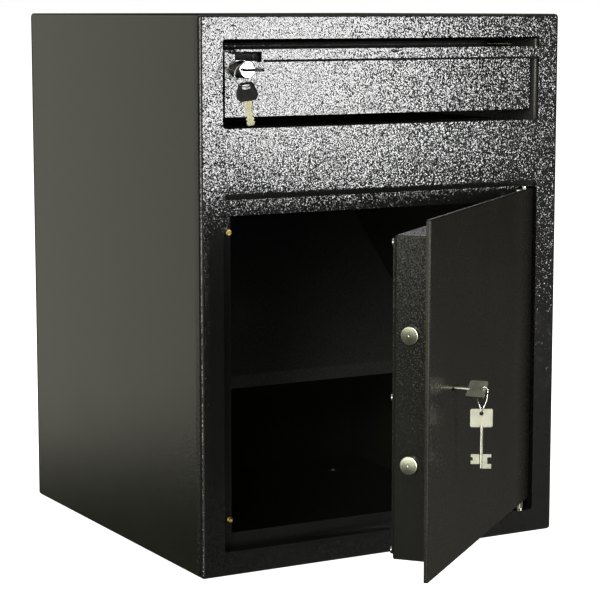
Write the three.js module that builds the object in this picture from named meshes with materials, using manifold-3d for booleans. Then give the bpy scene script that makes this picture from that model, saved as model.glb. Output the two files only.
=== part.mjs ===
// Drop safe with a deposit drawer above a hinged door. Lengths are in millimetres.
// X runs to the right, Y to the back, Z up, and the origin is the middle of the base.
// Door pieces are written with the door shut, and one turned group holds them at the rest angle.
import * as THREE from "three";
import { mergeVertices } from "three/addons/utils/BufferGeometryUtils.js";
import Module from "manifold-3d";

const wasm = await Module();
wasm.setup();

// Shared by every piece
const GAP = 0.3; // between pieces that touch
const OVERRUN = 6; // how far a cut runs past a face
const BEND = 1; // inside radius of a fold in thin sheet
const WELD = 0.002; // vertices closer than this are one
const ARC_STEPS = 3; // half the facets of a quarter turn
const LATHE_STEPS = 18;

// Body and front frame
const SAFE_WIDTH = 450;
const SAFE_DEPTH = 450;
const SAFE_HEIGHT = 590;
const BODY_WALL = 3;
const BODY_CORNER = 4;
const BACK_PLATE = 3;
const FASCIA = 4;
const FASCIA_SKIRT = 12;
const SKIRT_WALL = 3;
const LONG_FOLD_RADIUS = 6;
const SHORT_FOLD_RADIUS = 4;
const ANCHOR_HOLE = 6;
const ANCHOR_INSET = 70;

// Mouths in the front frame
const FASCIA_STILE_WIDTH = 27; // beside both mouths
const FASCIA_RAIL_HEIGHT = 75; // between the two mouths
const MOUTH_CORNER = 3;
const DOOR_MOUTH_BASE = 26.3;
const DRAWER_MOUTH_HEIGHT = 91.5;
const DRAWER_MOUTH_RIM = 25.5;

// Door stop frame
const STOP_SHEET = 2;
const STOP_SETBACK = 14;
const STOP_SIDE_REACH = 15;
const STOP_END_REACH = 16.6;
const BUFFER_RADIUS = 3.5;
const BUFFER_EDGE = 9;
const BUFFER_END = 33;
const BUFFER_AIR = 0.6;
const BUFFER_ROUND = 0.875;

// Door plate and hinge
const REST_ANGLE = 40;
const DOOR_PLATE = 4.5;
const DOOR_HINGE_GAP = 5.3;
const DOOR_LOCK_GAP = 0.7;
const DOOR_TOP_GAP = 2;
const DOOR_BASE_GAP = 12.7;
const DOOR_EDGE_RADIUS = 2.5;
const DOOR_CORNER = 2;
const PIN_RADIUS = 3;
const PIN_FROM_EDGE = 6;
const PIN_BEHIND_FACE = 9;
const PIN_PAST_FRAME = 0.5;
const PIN_CHAMFER = 0.5;
const PIN_COLLAR = 4.1;
const KNUCKLE_RADIUS = 4.2;
const HINGE_BLOCK_LENGTH = 20;
const HINGE_BLOCK_HEIGHT = 12;
const HINGE_BLOCK_INSET = 1;

// Lock box on the back of the door
const BOX_SHEET = 2;
const BOX_DEPTH = 39.2;
const BOX_HINGE_SETBACK = 20;
const BOX_FREE_SETBACK = 21;
const BOX_TOP_SETBACK = 18;
const BOX_BASE_SETBACK = 15.5;
const BOX_FOLD_RADIUS = 6;
const BOX_CORNER = 3;
const BOX_RETURN = 14;
const COVER_SHEET = 1.5;
const COVER_INSET = 4;
const COVER_CORNER = 3;
const SCREW_INSET = 8;
const SCREW_SHANK = 2;
const SCREW_LENGTH = 5;
const SCREW_HEAD = 4.3;
const SCREW_DOME = 1.7;
const DOME_RIM_SHARE = 1 / 3; // of the dome's height
const DOME_SHOULDER_SHARES = [0.7, 0.8]; // of the head's radius and of the dome's height

// Bolts and their bar
const BOLT_RADIUS = 9.5;
const BOLT_BEHIND_FACE = 26.5;
const BOLT_OVER_KEY = 61.4;
const BOLT_UNDER_KEY = 67.6;
const BOLT_PROUD = 3.8;
const BOLT_CHAMFER = 1.2;
const BOLT_THROW = 14.4;
const BOLT_RETRACT = 3.6;
const BOLT_NECK = 6;
const BOLT_RIVET = 8;
const BOLT_RIVET_HEIGHT = 3;
const BUSH_WALL = 3;
const BUSH_LENGTH = 6;
const BAR_SHEET = 5;
const BAR_WIDTH = 15;
const BAR_END = 12;
const BAR_CLEAR = 1;

// Keyhole and double-bit key
const KEYHOLE_FROM_FREE_EDGE = 87;
const KEYHOLE_OVER_MIDDLE = 1.1;
const KEYHOLE_SLOT = 22;
const KEY_SLACK = 0.5;
const KEY_SHEET = 2.2;
const KEY_LENGTH = 61;
const KEY_SHAFT = 2;
const KEY_NOSE = 0.6;
const KEY_NOSE_LENGTH = 0.8;
const KEY_BEHIND_FACE = 29;
const BOW_WIDTH = 22.5;
const BOW_HEIGHT = 18.5;
const BOW_CHAMFER = 2;
const BOW_HOLE = 2.1;
const BOW_HOLE_RIM = 4.7;
const BIT_REACH = 10.3;
const BIT_LENGTH = 14.8;
const BIT_STEP = 4.9;
const BIT_NOTCH = 4;
const BIT_TOOTH = 3;
const KEY_REST_TURN = 36;

// Lever lock
const CASE_SHEET = 2;
const CASE_DEPTH = 27;
const CASE_WIDTH = 60;
const CASE_HEIGHT = 87;
const CASE_SLACK = 1;
const LEVER_SHEET = 1.5;
const LEVER_PITCH = 2;
const LEVER_COUNT = 3;
const LEVER_POST = 2.5;
const LEVER_POST_OUT = 15;
const LEVER_POST_UP = 30;
const LEVER_RIM = 5;
const TALON_CLEAR = 2.2;
const FORK_SHEET = 5;
const FORK_ARM = 7;
const FORK_STEM = 10;
const FORK_TAIL = 8.5;
const FORK_TAIL_PAST = 3;

// Wire loop and second door key
const LOOP_WIRE = 0.55;
const LOOP_DROP = 23;
const LOOP_STEPS = 52;
const LOOP_ARC_STEPS = 1;
const LOOP_END = 5; // the route point that the wire starts from and comes back to
const SPARE_KEY_TURN = -29.3;

// Deposit drawer
const DRAWER_SHEET = 2;
const DRAWER_SIDE_GAP = 6.5;
const DRAWER_BASE_GAP = 11.5;
const DRAWER_PANEL_DEPTH = 8;
const DRAWER_FOLD_HEIGHT = 68;
const DRAWER_TAB_RISE = 8.5;
const DRAWER_TAB_WIDTH = 38.8;
const STRIP_HEIGHT = 13;
const STRIP_LEFT_INSET = 14;
const STRIP_RIGHT_INSET = 0.5;
const TRAY_SHEET = 1.2;
const TRAY_SIDE_GAP = 16;
const TRAY_FLOOR_RISE = 13;
const TRAY_HEIGHT = 54;
const TRAY_LENGTH = 265;
const CAM_NOTCH_LENGTH = 21;
const CAM_NOTCH_DEPTH = 43;

// Drawer housing, runners, flap and baffle
const HOUSING_SHEET = 1.5;
const HOUSING_MARGIN = 1.5;
const HOUSING_DROP = 2;
const HOUSING_LENGTH = 275;
const HOUSING_FLANGE = 15;
const HOUSING_FLOOR = 55;
const CAM_WINDOW_LENGTH = 10;
const CAM_WINDOW_HEIGHT = 41;
const RUNNER_SHEET = 1.5;
const RUNNER_WIDTH = 12.9;
const RUNNER_HEIGHT = 35;
const RUNNER_RISE = 6;
const RUNNER_START = 35;
const RUNNER_LIP = 8.5;
const RUNNER_SLACK = 0.6;
const FLAP_SHEET = 1.5;
const FLAP_SETBACK = 75;
const FLAP_ROD = 2.5;
const FLAP_ROD_DROP = 8.5;
const FLAP_SIDE_GAP = 6;
const FLAP_FLOOR_GAP = 5.5;
const BAFFLE_SHEET = 2;
const BAFFLE_DROP = 138;
const BAFFLE_LIP_HEIGHT = 165.5;
const BAFFLE_LIP_SETBACK = 243;
const BAFFLE_LIP = 14;
const BAFFLE_FLANGE = 20;

// Drawer cam lock and its keys
const CAM_LOCK_FROM_EDGE = 19.5;
const CAM_LOCK_HEIGHT = 49;
const CAM_HEAD = 9.2;
const CAM_HEAD_PROUD = 13.5;
const CAM_HEAD_EDGE = 1;
const CAM_BODY = 8;
const CAM_BODY_LENGTH = 12;
const CAM_BORE = 6.6;
const CAM_PLUG = 6.2;
const CAM_NUT = 10.5;
const CAM_NUT_HEIGHT = 4.5;
const CAM_NUT_SIDES = 6;
const CAM_SHEET = 3;
const CAM_REACH = 29;
const CAM_HALF_WIDTH = 7;
const CAM_ROUND = 6.3;
const CAM_SQUARE = 3.5;
const CAM_SCREW_HEAD = 5;
const CAM_SCREW_HEIGHT = 2.2;
const CAM_SCREW_SHANK = 1.6;
const CAM_SCREW_LENGTH = 4;
const CAM_KEY_BLADE = 25;
const CAM_KEY_BLADE_WIDTH = 8.4;
const CAM_KEY_BLADE_SHEET = 2;
const CAM_KEY_TIP = 2.5;
const CAM_KEY_CUT = 1.4;
const CAM_KEY_CUT_SHARES = [0.25, 0.42, 0.59, 0.76]; // of the blade's length
const CAM_KEY_DEPTH_SHARES = [1, 0.6]; // of the deepest cut, by turns
const CAM_KEY_TONGUE = 6;
const CAM_KEY_STANDOFF = 3.5;
const CAM_KEY_SHOULDER = 24;
const CAM_KEY_TOP = 14;
const CAM_KEY_HEAD_HEIGHT = 19.5;
const CAM_KEY_HEAD_SHEET = 3;
const CAM_KEY_HEAD_ROUND = 3;
const CAM_KEY_SLOT_WIDTH = 9.5;
const CAM_KEY_SLOT_HEIGHT = 4.6;
const CAM_KEY_SLOT_RIM = 5;
const RING_RADIUS = 12;
const RING_WIRE = 0.6;
const RING_SIDES = 6;
const RING_SIDE_SHIFT = 10.9;
const RING_DROP = 5;
const RING_YAW = 18.7;
const CAM_SPARE_YAW = 46.7;
const CAM_SPARE_LEAN = 8;

// Places worked out from the sizes above
const FRONT = -SAFE_DEPTH / 2;
const REAR = SAFE_DEPTH / 2;
const HALF_WIDTH = SAFE_WIDTH / 2;
const INNER_HALF_WIDTH = HALF_WIDTH - BODY_WALL - GAP;
const FASCIA_REAR = FRONT + FASCIA;
const SKIRT_END = FRONT + FASCIA_SKIRT;
const BACK_PLATE_FRONT = REAR - BACK_PLATE;
const MOUTH = HALF_WIDTH - FASCIA_STILE_WIDTH;
const DRAWER_MOUTH_TOP = SAFE_HEIGHT - DRAWER_MOUTH_RIM;
const DRAWER_MOUTH_BASE = DRAWER_MOUTH_TOP - DRAWER_MOUTH_HEIGHT;
const DOOR_MOUTH_TOP = DRAWER_MOUTH_BASE - FASCIA_RAIL_HEIGHT;
const STOP_FRONT = FRONT + STOP_SETBACK;

const DOOR_FREE = -MOUTH + DOOR_LOCK_GAP;
const DOOR_HINGE = MOUTH - DOOR_HINGE_GAP;
const DOOR_BASE = DOOR_MOUTH_BASE + DOOR_BASE_GAP;
const DOOR_TOP = DOOR_MOUTH_TOP - DOOR_TOP_GAP;
const DOOR_BACK = FRONT + DOOR_PLATE;
const PIN_X = DOOR_HINGE - PIN_FROM_EDGE;
const PIN_Y = FRONT + PIN_BEHIND_FACE;

const BOX_LEFT = DOOR_FREE + BOX_FREE_SETBACK;
const BOX_RIGHT = DOOR_HINGE - BOX_HINGE_SETBACK;
const BOX_BASE = DOOR_BASE + BOX_BASE_SETBACK;
const BOX_TOP = DOOR_TOP - BOX_TOP_SETBACK;
const BOX_FRONT = DOOR_BACK + GAP;
const BOX_REAR = BOX_FRONT + BOX_DEPTH;

const KEY_X = DOOR_FREE + KEYHOLE_FROM_FREE_EDGE;
const KEY_Z = (DOOR_BASE + DOOR_TOP) / 2 + KEYHOLE_OVER_MIDDLE;
const BOLT_Y = FRONT + BOLT_BEHIND_FACE;
const BOLT_HEIGHTS = [KEY_Z + BOLT_OVER_KEY, KEY_Z - BOLT_UNDER_KEY];
const BUSH_LEFT = BOX_LEFT + BOX_SHEET + GAP;
const BAR_LEFT = BUSH_LEFT + BUSH_LENGTH + BOLT_THROW + BAR_CLEAR;
const BAR_RIGHT = BAR_LEFT + BAR_SHEET;

const BOW_BASE = KEY_LENGTH - BOW_HEIGHT;
const BOW_HOLE_AT = KEY_LENGTH - BOW_HOLE_RIM;
const CASE_LEFT = BAR_RIGHT + BOLT_RIVET_HEIGHT + 2 * GAP + CASE_SLACK;
const CASE_FRONT = DOOR_BACK + 2 * GAP;
const CASE_REAR = CASE_FRONT + CASE_DEPTH;
const CASE_BASE = KEY_Z - CASE_HEIGHT / 2;
const TALON_RADIUS = BIT_REACH + TALON_CLEAR;
const LEVER_FRONT = FRONT + KEY_BEHIND_FACE - BIT_LENGTH + GAP;
const FORK_FRONT = LEVER_FRONT + LEVER_COUNT * LEVER_PITCH + GAP;

const PANEL_FRONT = FRONT + DRAWER_PANEL_DEPTH;
const PANEL_REAR = PANEL_FRONT + DRAWER_SHEET;
const PANEL_HALF_WIDTH = MOUTH - DRAWER_SIDE_GAP;
const PANEL_BASE = DRAWER_MOUTH_BASE + DRAWER_BASE_GAP;
const STRIP_FOLD = DRAWER_MOUTH_BASE + DRAWER_FOLD_HEIGHT;
const TAB_FOLD = STRIP_FOLD + DRAWER_TAB_RISE;
const STRIP_TOP = STRIP_FOLD + STRIP_HEIGHT;
const TAB_RIGHT = -PANEL_HALF_WIDTH + DRAWER_TAB_WIDTH;
const TRAY_BASE = DRAWER_MOUTH_BASE + TRAY_FLOOR_RISE;
const TRAY_FRONT = PANEL_REAR + GAP;
const TRAY_REAR = TRAY_FRONT + TRAY_LENGTH;
const TRAY_HALF_WIDTH = MOUTH - TRAY_SIDE_GAP;
const HOUSING_INNER = TRAY_HALF_WIDTH + RUNNER_WIDTH + 2 * GAP;
const HOUSING_FRONT = FASCIA_REAR + GAP;
const HOUSING_REAR = HOUSING_FRONT + HOUSING_LENGTH;
const HOUSING_BASE = DRAWER_MOUTH_BASE - HOUSING_DROP;
const HOUSING_TOP = DRAWER_MOUTH_TOP - HOUSING_MARGIN;

const RUNNER_FRONT = HOUSING_FRONT + RUNNER_START;
const RUNNER_BASE = TRAY_BASE + RUNNER_RISE;
const RUNNER_TOP = RUNNER_BASE + RUNNER_HEIGHT;
const ROD_Y = FRONT + FLAP_SETBACK;
const ROD_Z = DRAWER_MOUTH_TOP - FLAP_ROD_DROP;
const FLAP_HALF_WIDTH = TRAY_HALF_WIDTH - FLAP_SIDE_GAP;
const BAFFLE_TOP = DRAWER_MOUTH_BASE - BAFFLE_DROP;

const CAM_X = -PANEL_HALF_WIDTH + CAM_LOCK_FROM_EDGE;
const CAM_Z = PANEL_BASE + CAM_LOCK_HEIGHT;
const CAM_FACE = PANEL_FRONT - CAM_HEAD_PROUD;
const CAM_BODY_REAR = PANEL_REAR + CAM_BODY_LENGTH;
const CAM_PLATE_FRONT = CAM_BODY_REAR + GAP;
const CAM_PLATE_REAR = CAM_PLATE_FRONT + CAM_SHEET;
const CAM_KEY_LENGTH = CAM_KEY_BLADE + CAM_KEY_HEAD_HEIGHT;
const CAM_KEY_SLOT_AT = CAM_KEY_LENGTH - CAM_KEY_SLOT_RIM;
const CAM_KEY_TIP_Y = CAM_FACE - CAM_KEY_STANDOFF + CAM_KEY_BLADE;
const CAM_KEY_SLOT_Y = CAM_KEY_TIP_Y - CAM_KEY_SLOT_AT;

// Solids from three.js geometry

// The closed solid of a geometry, whichever way its faces were wound
function solid(geometry) {
  const loose = geometry.index ? geometry.toNonIndexed() : geometry;
  const bare = new THREE.BufferGeometry();
  bare.setAttribute("position", loose.getAttribute("position"));
  const merged = mergeVertices(bare, WELD);
  const corners = merged.index.array;
  const kept = [];
  for (let i = 0; i < corners.length; i += 3) {
    const [a, b, c] = corners.slice(i, i + 3);
    if (a !== b && b !== c && c !== a) kept.push(a, b, c);
  }
  const build = (order) => {
    const triVerts = new Uint32Array(order);
    const vertProperties = merged.attributes.position.array;
    return new wasm.Manifold(new wasm.Mesh({ numProp: 3, vertProperties, triVerts }));
  };
  const made = build(kept);
  return made.volume() > 0 ? made : build(kept.reverse());
}

// A closed outline through corners [a, b, radius], each one rounded where it has a radius
function outline(corners) {
  const shape = new THREE.Shape();
  const count = corners.length;
  const point = (i) => new THREE.Vector2(corners[(i + count) % count][0], corners[(i + count) % count][1]);
  const goTo = (i, a, b) => (i === 0 ? shape.moveTo(a, b) : shape.lineTo(a, b));
  corners.forEach(([a, b, radius = 0], i) => {
    if (radius <= 0) {
      goTo(i, a, b);
      return;
    }
    const at = point(i);
    const before = point(i - 1).sub(at).normalize();
    const after = point(i + 1).sub(at).normalize();
    const half = Math.acos(THREE.MathUtils.clamp(before.dot(after), -1, 1)) / 2;
    const start = before.clone().multiplyScalar(radius / Math.tan(half)).add(at);
    const end = after.clone().multiplyScalar(radius / Math.tan(half)).add(at);
    const middle = before.clone().add(after).normalize().multiplyScalar(radius / Math.sin(half)).add(at);
    const from = Math.atan2(start.y - middle.y, start.x - middle.x);
    const to = Math.atan2(end.y - middle.y, end.x - middle.x);
    goTo(i, start.x, start.y);
    shape.absarc(middle.x, middle.y, radius, from, to, before.cross(after) > 0);
  });
  return shape;
}

function rectangle(a0, a1, b0, b1, radius = 0) {
  return outline([
    [a0, b0, radius],
    [a1, b0, radius],
    [a1, b1, radius],
    [a0, b1, radius],
  ]);
}

function disc(a, b, radius) {
  const shape = new THREE.Shape();
  for (let quarter = 0; quarter < 4; quarter++) {
    shape.absarc(a, b, radius, (quarter * Math.PI) / 2, ((quarter + 1) * Math.PI) / 2, false);
  }
  return shape;
}

// The section of sheet folded along a path: the path is one face and the sheet lies to its right
function foldedSheet(path, sheet, bend = BEND) {
  const points = path.map(([a, b]) => new THREE.Vector2(a, b));
  const headings = points.slice(1).map((p, i) => p.clone().sub(points[i]).normalize());
  const near = [];
  const far = [];
  points.forEach((p, i) => {
    const before = headings[Math.max(i - 1, 0)];
    const after = headings[Math.min(i, headings.length - 1)];
    const share = sheet / (1 + before.dot(after));
    const away = new THREE.Vector2(before.y + after.y, -before.x - after.x).multiplyScalar(share);
    const turn = before.cross(after);
    const inside = turn === 0 ? 0 : bend;
    const outside = turn === 0 ? 0 : bend + sheet;
    near.push([p.x, p.y, turn > 0 ? inside : outside]);
    far.unshift([p.x + away.x, p.y + away.y, turn > 0 ? outside : inside]);
  });
  return outline([...near, ...far]);
}

// A path drawn for the right-hand side, turned over for the left-hand side
function forSide(side, path) {
  return side > 0 ? path : path.map(([a, b]) => [-a, b]).reverse();
}

// The row axes that an outline's two directions and its thickness follow
const AXES = {
  x: [new THREE.Vector3(0, 1, 0), new THREE.Vector3(0, 0, 1), new THREE.Vector3(1, 0, 0)],
  y: [new THREE.Vector3(1, 0, 0), new THREE.Vector3(0, 0, 1), new THREE.Vector3(0, -1, 0)],
  z: [new THREE.Vector3(1, 0, 0), new THREE.Vector3(0, 1, 0), new THREE.Vector3(0, 0, 1)],
};

// An outline given thickness along an axis: along x it is drawn in Y and Z, along y in X and Z
function extrude(axis, shape, from, to) {
  const settings = { depth: to - from, bevelEnabled: false, curveSegments: ARC_STEPS };
  const geometry = new THREE.ExtrudeGeometry(shape, settings);
  const [a, b, along] = AXES[axis];
  const start = along.clone().multiplyScalar(axis === "y" ? -to : from);
  geometry.applyMatrix4(new THREE.Matrix4().makeBasis(a, b, along).setPosition(start));
  return solid(geometry);
}

// A profile of [radius, distance] turned about an axis that passes through (a, b)
function turned(axis, a, b, profile) {
  const points = profile.map(([radius, along]) => new THREE.Vector2(radius, along));
  const geometry = new THREE.LatheGeometry(points, LATHE_STEPS);
  const turns = {
    x: new THREE.Matrix4().makeRotationZ(-Math.PI / 2).setPosition(0, a, b),
    y: new THREE.Matrix4().setPosition(a, 0, b),
    z: new THREE.Matrix4().makeRotationX(Math.PI / 2).setPosition(a, b, 0),
  };
  return solid(geometry.applyMatrix4(turns[axis]));
}

function rod(axis, a, b, radius, from, to) {
  return turned(axis, a, b, [
    [0, from],
    [radius, from],
    [radius, to],
    [0, to],
  ]);
}

function block(x0, x1, y0, y1, z0, z1) {
  return extrude("z", rectangle(x0, x1, y0, y1), z0, z1);
}

// A block with rounded corners seen from the front, whose upright and level folds round one face
function pressing({ x: [x0, x1], y: [y0, y1], z: [z0, z1], corner, upright, level, face }) {
  const [frontUpright, rearUpright] = face === "front" ? [upright, 0] : [0, upright];
  const [frontLevel, rearLevel] = face === "front" ? [level, 0] : [0, level];
  const plan = outline([
    [x0, y0, frontUpright],
    [x1, y0, frontUpright],
    [x1, y1, rearUpright],
    [x0, y1, rearUpright],
  ]);
  const profile = outline([
    [y0, z0, frontLevel],
    [y1, z0, rearLevel],
    [y1, z1, rearLevel],
    [y0, z1, frontLevel],
  ]);
  return extrude("y", rectangle(x0, x1, z0, z1, corner), y0, y1)
    .intersect(extrude("z", plan, z0 - OVERRUN, z1 + OVERRUN))
    .intersect(extrude("x", profile, x0 - OVERRUN, x1 + OVERRUN));
}

function minus(body, cuts) {
  return cuts.reduce((left, cut) => left.subtract(cut), body);
}

function plus(bodies) {
  return bodies.reduce((whole, body) => whole.add(body));
}

// Finishes, one new material for each mesh
const FINISHES = {
  body: { color: 0x24231f, metalness: 0.3, roughness: 0.6 },
  door: { color: 0x2b2926, metalness: 0.3, roughness: 0.35 },
  inside: { color: 0x1d1c1a, metalness: 0.2, roughness: 0.7 },
  zinc: { color: 0xb4b4b0, metalness: 1, roughness: 0.4 },
  chrome: { color: 0xd0d0d2, metalness: 1, roughness: 0.15 },
  nickel: { color: 0xc0bcb0, metalness: 1, roughness: 0.3 },
  steel: { color: 0xc4c4c2, metalness: 1, roughness: 0.25 },
  brass: { color: 0xb08a45, metalness: 1, roughness: 0.35 },
  plastic: { color: 0x111111, metalness: 0, roughness: 0.5 },
};

function piece(group, name, made, finish) {
  const mesh = made.getMesh();
  const geometry = new THREE.BufferGeometry();
  geometry.setAttribute("position", new THREE.BufferAttribute(new Float32Array(mesh.vertProperties), 3));
  geometry.setIndex(new THREE.BufferAttribute(new Uint32Array(mesh.triVerts), 1));
  const flat = geometry.toNonIndexed();
  flat.computeVertexNormals();
  const shown = new THREE.Mesh(flat, new THREE.MeshStandardMaterial(FINISHES[finish]));
  shown.name = name;
  group.add(shown);
}

// Safe body

function bodyShell() {
  const outer = rectangle(-HALF_WIDTH, HALF_WIDTH, 0, SAFE_HEIGHT, BODY_CORNER);
  const inner = rectangle(
    -HALF_WIDTH + BODY_WALL,
    HALF_WIDTH - BODY_WALL,
    BODY_WALL,
    SAFE_HEIGHT - BODY_WALL,
    BODY_CORNER - BODY_WALL,
  );
  const front = SKIRT_END + GAP;
  const rear = BACK_PLATE_FRONT - GAP;
  const anchors = [-1, 1].flatMap((side) =>
    [-1, 1].map((end) => {
      const x = side * (HALF_WIDTH - ANCHOR_INSET);
      const y = end * (SAFE_DEPTH / 2 - ANCHOR_INSET);
      return extrude("z", disc(x, y, ANCHOR_HOLE), -OVERRUN, BODY_WALL + OVERRUN);
    }),
  );
  const bore = extrude("y", inner, front - OVERRUN, rear + OVERRUN);
  return minus(extrude("y", outer, front, rear), [bore, ...anchors]);
}

function backPanel() {
  const plate = rectangle(-HALF_WIDTH, HALF_WIDTH, 0, SAFE_HEIGHT, BODY_CORNER);
  const anchors = [-1, 1].map((side) => {
    const hole = disc(side * (HALF_WIDTH - ANCHOR_INSET), SAFE_HEIGHT - ANCHOR_INSET, ANCHOR_HOLE);
    return extrude("y", hole, BACK_PLATE_FRONT - OVERRUN, REAR + OVERRUN);
  });
  return minus(extrude("y", plate, BACK_PLATE_FRONT, REAR), anchors);
}

function frontFrame() {
  const shell = pressing({
    x: [-HALF_WIDTH, HALF_WIDTH],
    y: [FRONT, SKIRT_END],
    z: [0, SAFE_HEIGHT],
    corner: BODY_CORNER,
    upright: LONG_FOLD_RADIUS,
    level: SHORT_FOLD_RADIUS,
    face: "front",
  });
  const hollow = pressing({
    x: [-HALF_WIDTH + SKIRT_WALL, HALF_WIDTH - SKIRT_WALL],
    y: [FASCIA_REAR, SKIRT_END + OVERRUN],
    z: [SKIRT_WALL, SAFE_HEIGHT - SKIRT_WALL],
    corner: BODY_CORNER - SKIRT_WALL,
    upright: LONG_FOLD_RADIUS - SKIRT_WALL,
    level: SHORT_FOLD_RADIUS - SKIRT_WALL,
    face: "front",
  });
  const mouth = (base, top) =>
    extrude("y", rectangle(-MOUTH, MOUTH, base, top, MOUTH_CORNER), FRONT - OVERRUN, SKIRT_END);
  return minus(shell, [
    hollow,
    mouth(DOOR_MOUTH_BASE, DOOR_MOUTH_TOP),
    mouth(DRAWER_MOUTH_BASE, DRAWER_MOUTH_TOP),
  ]);
}

// An angle ring behind the door mouth; it has no stop at the hinge side, where the plate swings in
function doorStopFrame() {
  const left = -MOUTH - STOP_SHEET;
  const right = MOUTH + STOP_SHEET;
  const base = DOOR_MOUTH_BASE - STOP_SHEET;
  const top = DOOR_MOUTH_TOP + STOP_SHEET;
  const front = FASCIA_REAR + GAP;
  const rear = STOP_FRONT + STOP_SHEET;
  const rim = rectangle(left, right, base, top, MOUTH_CORNER + STOP_SHEET);
  const mouth = rectangle(-MOUTH, MOUTH, DOOR_MOUTH_BASE, DOOR_MOUTH_TOP, MOUTH_CORNER);
  const window = rectangle(
    -MOUTH + STOP_SIDE_REACH,
    MOUTH - STOP_SIDE_REACH,
    DOOR_MOUTH_BASE + STOP_END_REACH,
    DOOR_MOUTH_TOP - STOP_END_REACH,
  );
  const reach = MOUTH - STOP_SIDE_REACH;
  const hingeRelief = rectangle(reach, MOUTH, DOOR_MOUTH_BASE, DOOR_MOUTH_TOP, MOUTH_CORNER);
  return minus(extrude("y", rim, front, rear), [
    extrude("y", mouth, front - OVERRUN, STOP_FRONT),
    extrude("y", window, front, rear + OVERRUN),
    extrude("y", hingeRelief, front, rear + OVERRUN),
    extrude("z", disc(PIN_X, PIN_Y, PIN_RADIUS + GAP), base - OVERRUN, top + OVERRUN),
  ]);
}

function doorBuffer(z) {
  const front = DOOR_BACK + BUFFER_AIR;
  const rear = STOP_FRONT - GAP;
  return turned("y", -MOUTH + BUFFER_EDGE, z, [
    [0, front],
    [BUFFER_RADIUS - BUFFER_ROUND, front],
    [BUFFER_RADIUS, front + BUFFER_ROUND],
    [BUFFER_RADIUS, rear],
    [0, rear],
  ]);
}

// The sloping plate that leads a dropped envelope to the front of the store
function chuteBaffle() {
  const rear = BACK_PLATE_FRONT - GAP;
  const lip = FRONT + BAFFLE_LIP_SETBACK;
  const section = foldedSheet(
    [
      [rear, BAFFLE_TOP + BAFFLE_FLANGE],
      [rear, BAFFLE_TOP],
      [lip, BAFFLE_LIP_HEIGHT],
      [lip, BAFFLE_LIP_HEIGHT - BAFFLE_LIP],
    ],
    BAFFLE_SHEET,
    BAFFLE_SHEET,
  );
  return extrude("x", section, -INNER_HALF_WIDTH, INNER_HALF_WIDTH);
}

const safe = new THREE.Group();
safe.name = "drop_safe";
piece(safe, "body_shell", bodyShell(), "body");
piece(safe, "front_frame", frontFrame(), "body");
piece(safe, "back_panel", backPanel(), "body");
piece(safe, "door_stop_frame", doorStopFrame(), "inside");
piece(safe, "door_buffer_upper", doorBuffer(DOOR_MOUTH_TOP - BUFFER_END), "brass");
piece(safe, "door_buffer_lower", doorBuffer(DOOR_MOUTH_BASE + BUFFER_END), "brass");
piece(safe, "chute_baffle", chuteBaffle(), "inside");

// Door, turned about its pins to the rest angle

const door = new THREE.Group();
door.name = "door";
const UP = new THREE.Vector3(0, 0, 1);
const pinFoot = new THREE.Vector3(PIN_X, PIN_Y, 0);
const restTurn = THREE.MathUtils.degToRad(REST_ANGLE);
door.rotation.z = restTurn;
door.position.copy(pinFoot).sub(pinFoot.clone().applyAxisAngle(UP, restTurn));
safe.add(door);

// The slot and round hole that a double-bit key passes, cut right through from one y to another
function keyhole(from, to) {
  const slot = KEY_SHEET / 2 + KEY_SLACK;
  const half = KEYHOLE_SLOT / 2;
  const across = rectangle(KEY_X - half, KEY_X + half, KEY_Z - slot, KEY_Z + slot, slot / 2);
  const middle = disc(KEY_X, KEY_Z, KEY_SHAFT + KEY_SLACK + GAP / 2);
  return extrude("y", across, from, to).add(extrude("y", middle, from, to));
}

function doorPlate() {
  const plate = pressing({
    x: [DOOR_FREE, DOOR_HINGE],
    y: [FRONT, DOOR_BACK],
    z: [DOOR_BASE, DOOR_TOP],
    corner: DOOR_CORNER,
    upright: DOOR_EDGE_RADIUS,
    level: DOOR_EDGE_RADIUS,
    face: "front",
  });
  return plate.subtract(keyhole(FRONT - OVERRUN, DOOR_BACK + OVERRUN));
}

const SCREW_COLUMNS = [BOX_LEFT + SCREW_INSET, BOX_RIGHT - SCREW_INSET];
const SCREW_ROWS = [BOX_TOP - SCREW_INSET, (BOX_TOP + BOX_BASE) / 2, BOX_BASE + SCREW_INSET];
const SCREW_PLACES = SCREW_COLUMNS.flatMap((x) => SCREW_ROWS.map((z) => [x, z]));

function screwHoles(from, to) {
  return SCREW_PLACES.map(([x, z]) => extrude("y", disc(x, z, SCREW_SHANK + GAP), from, to));
}

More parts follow.
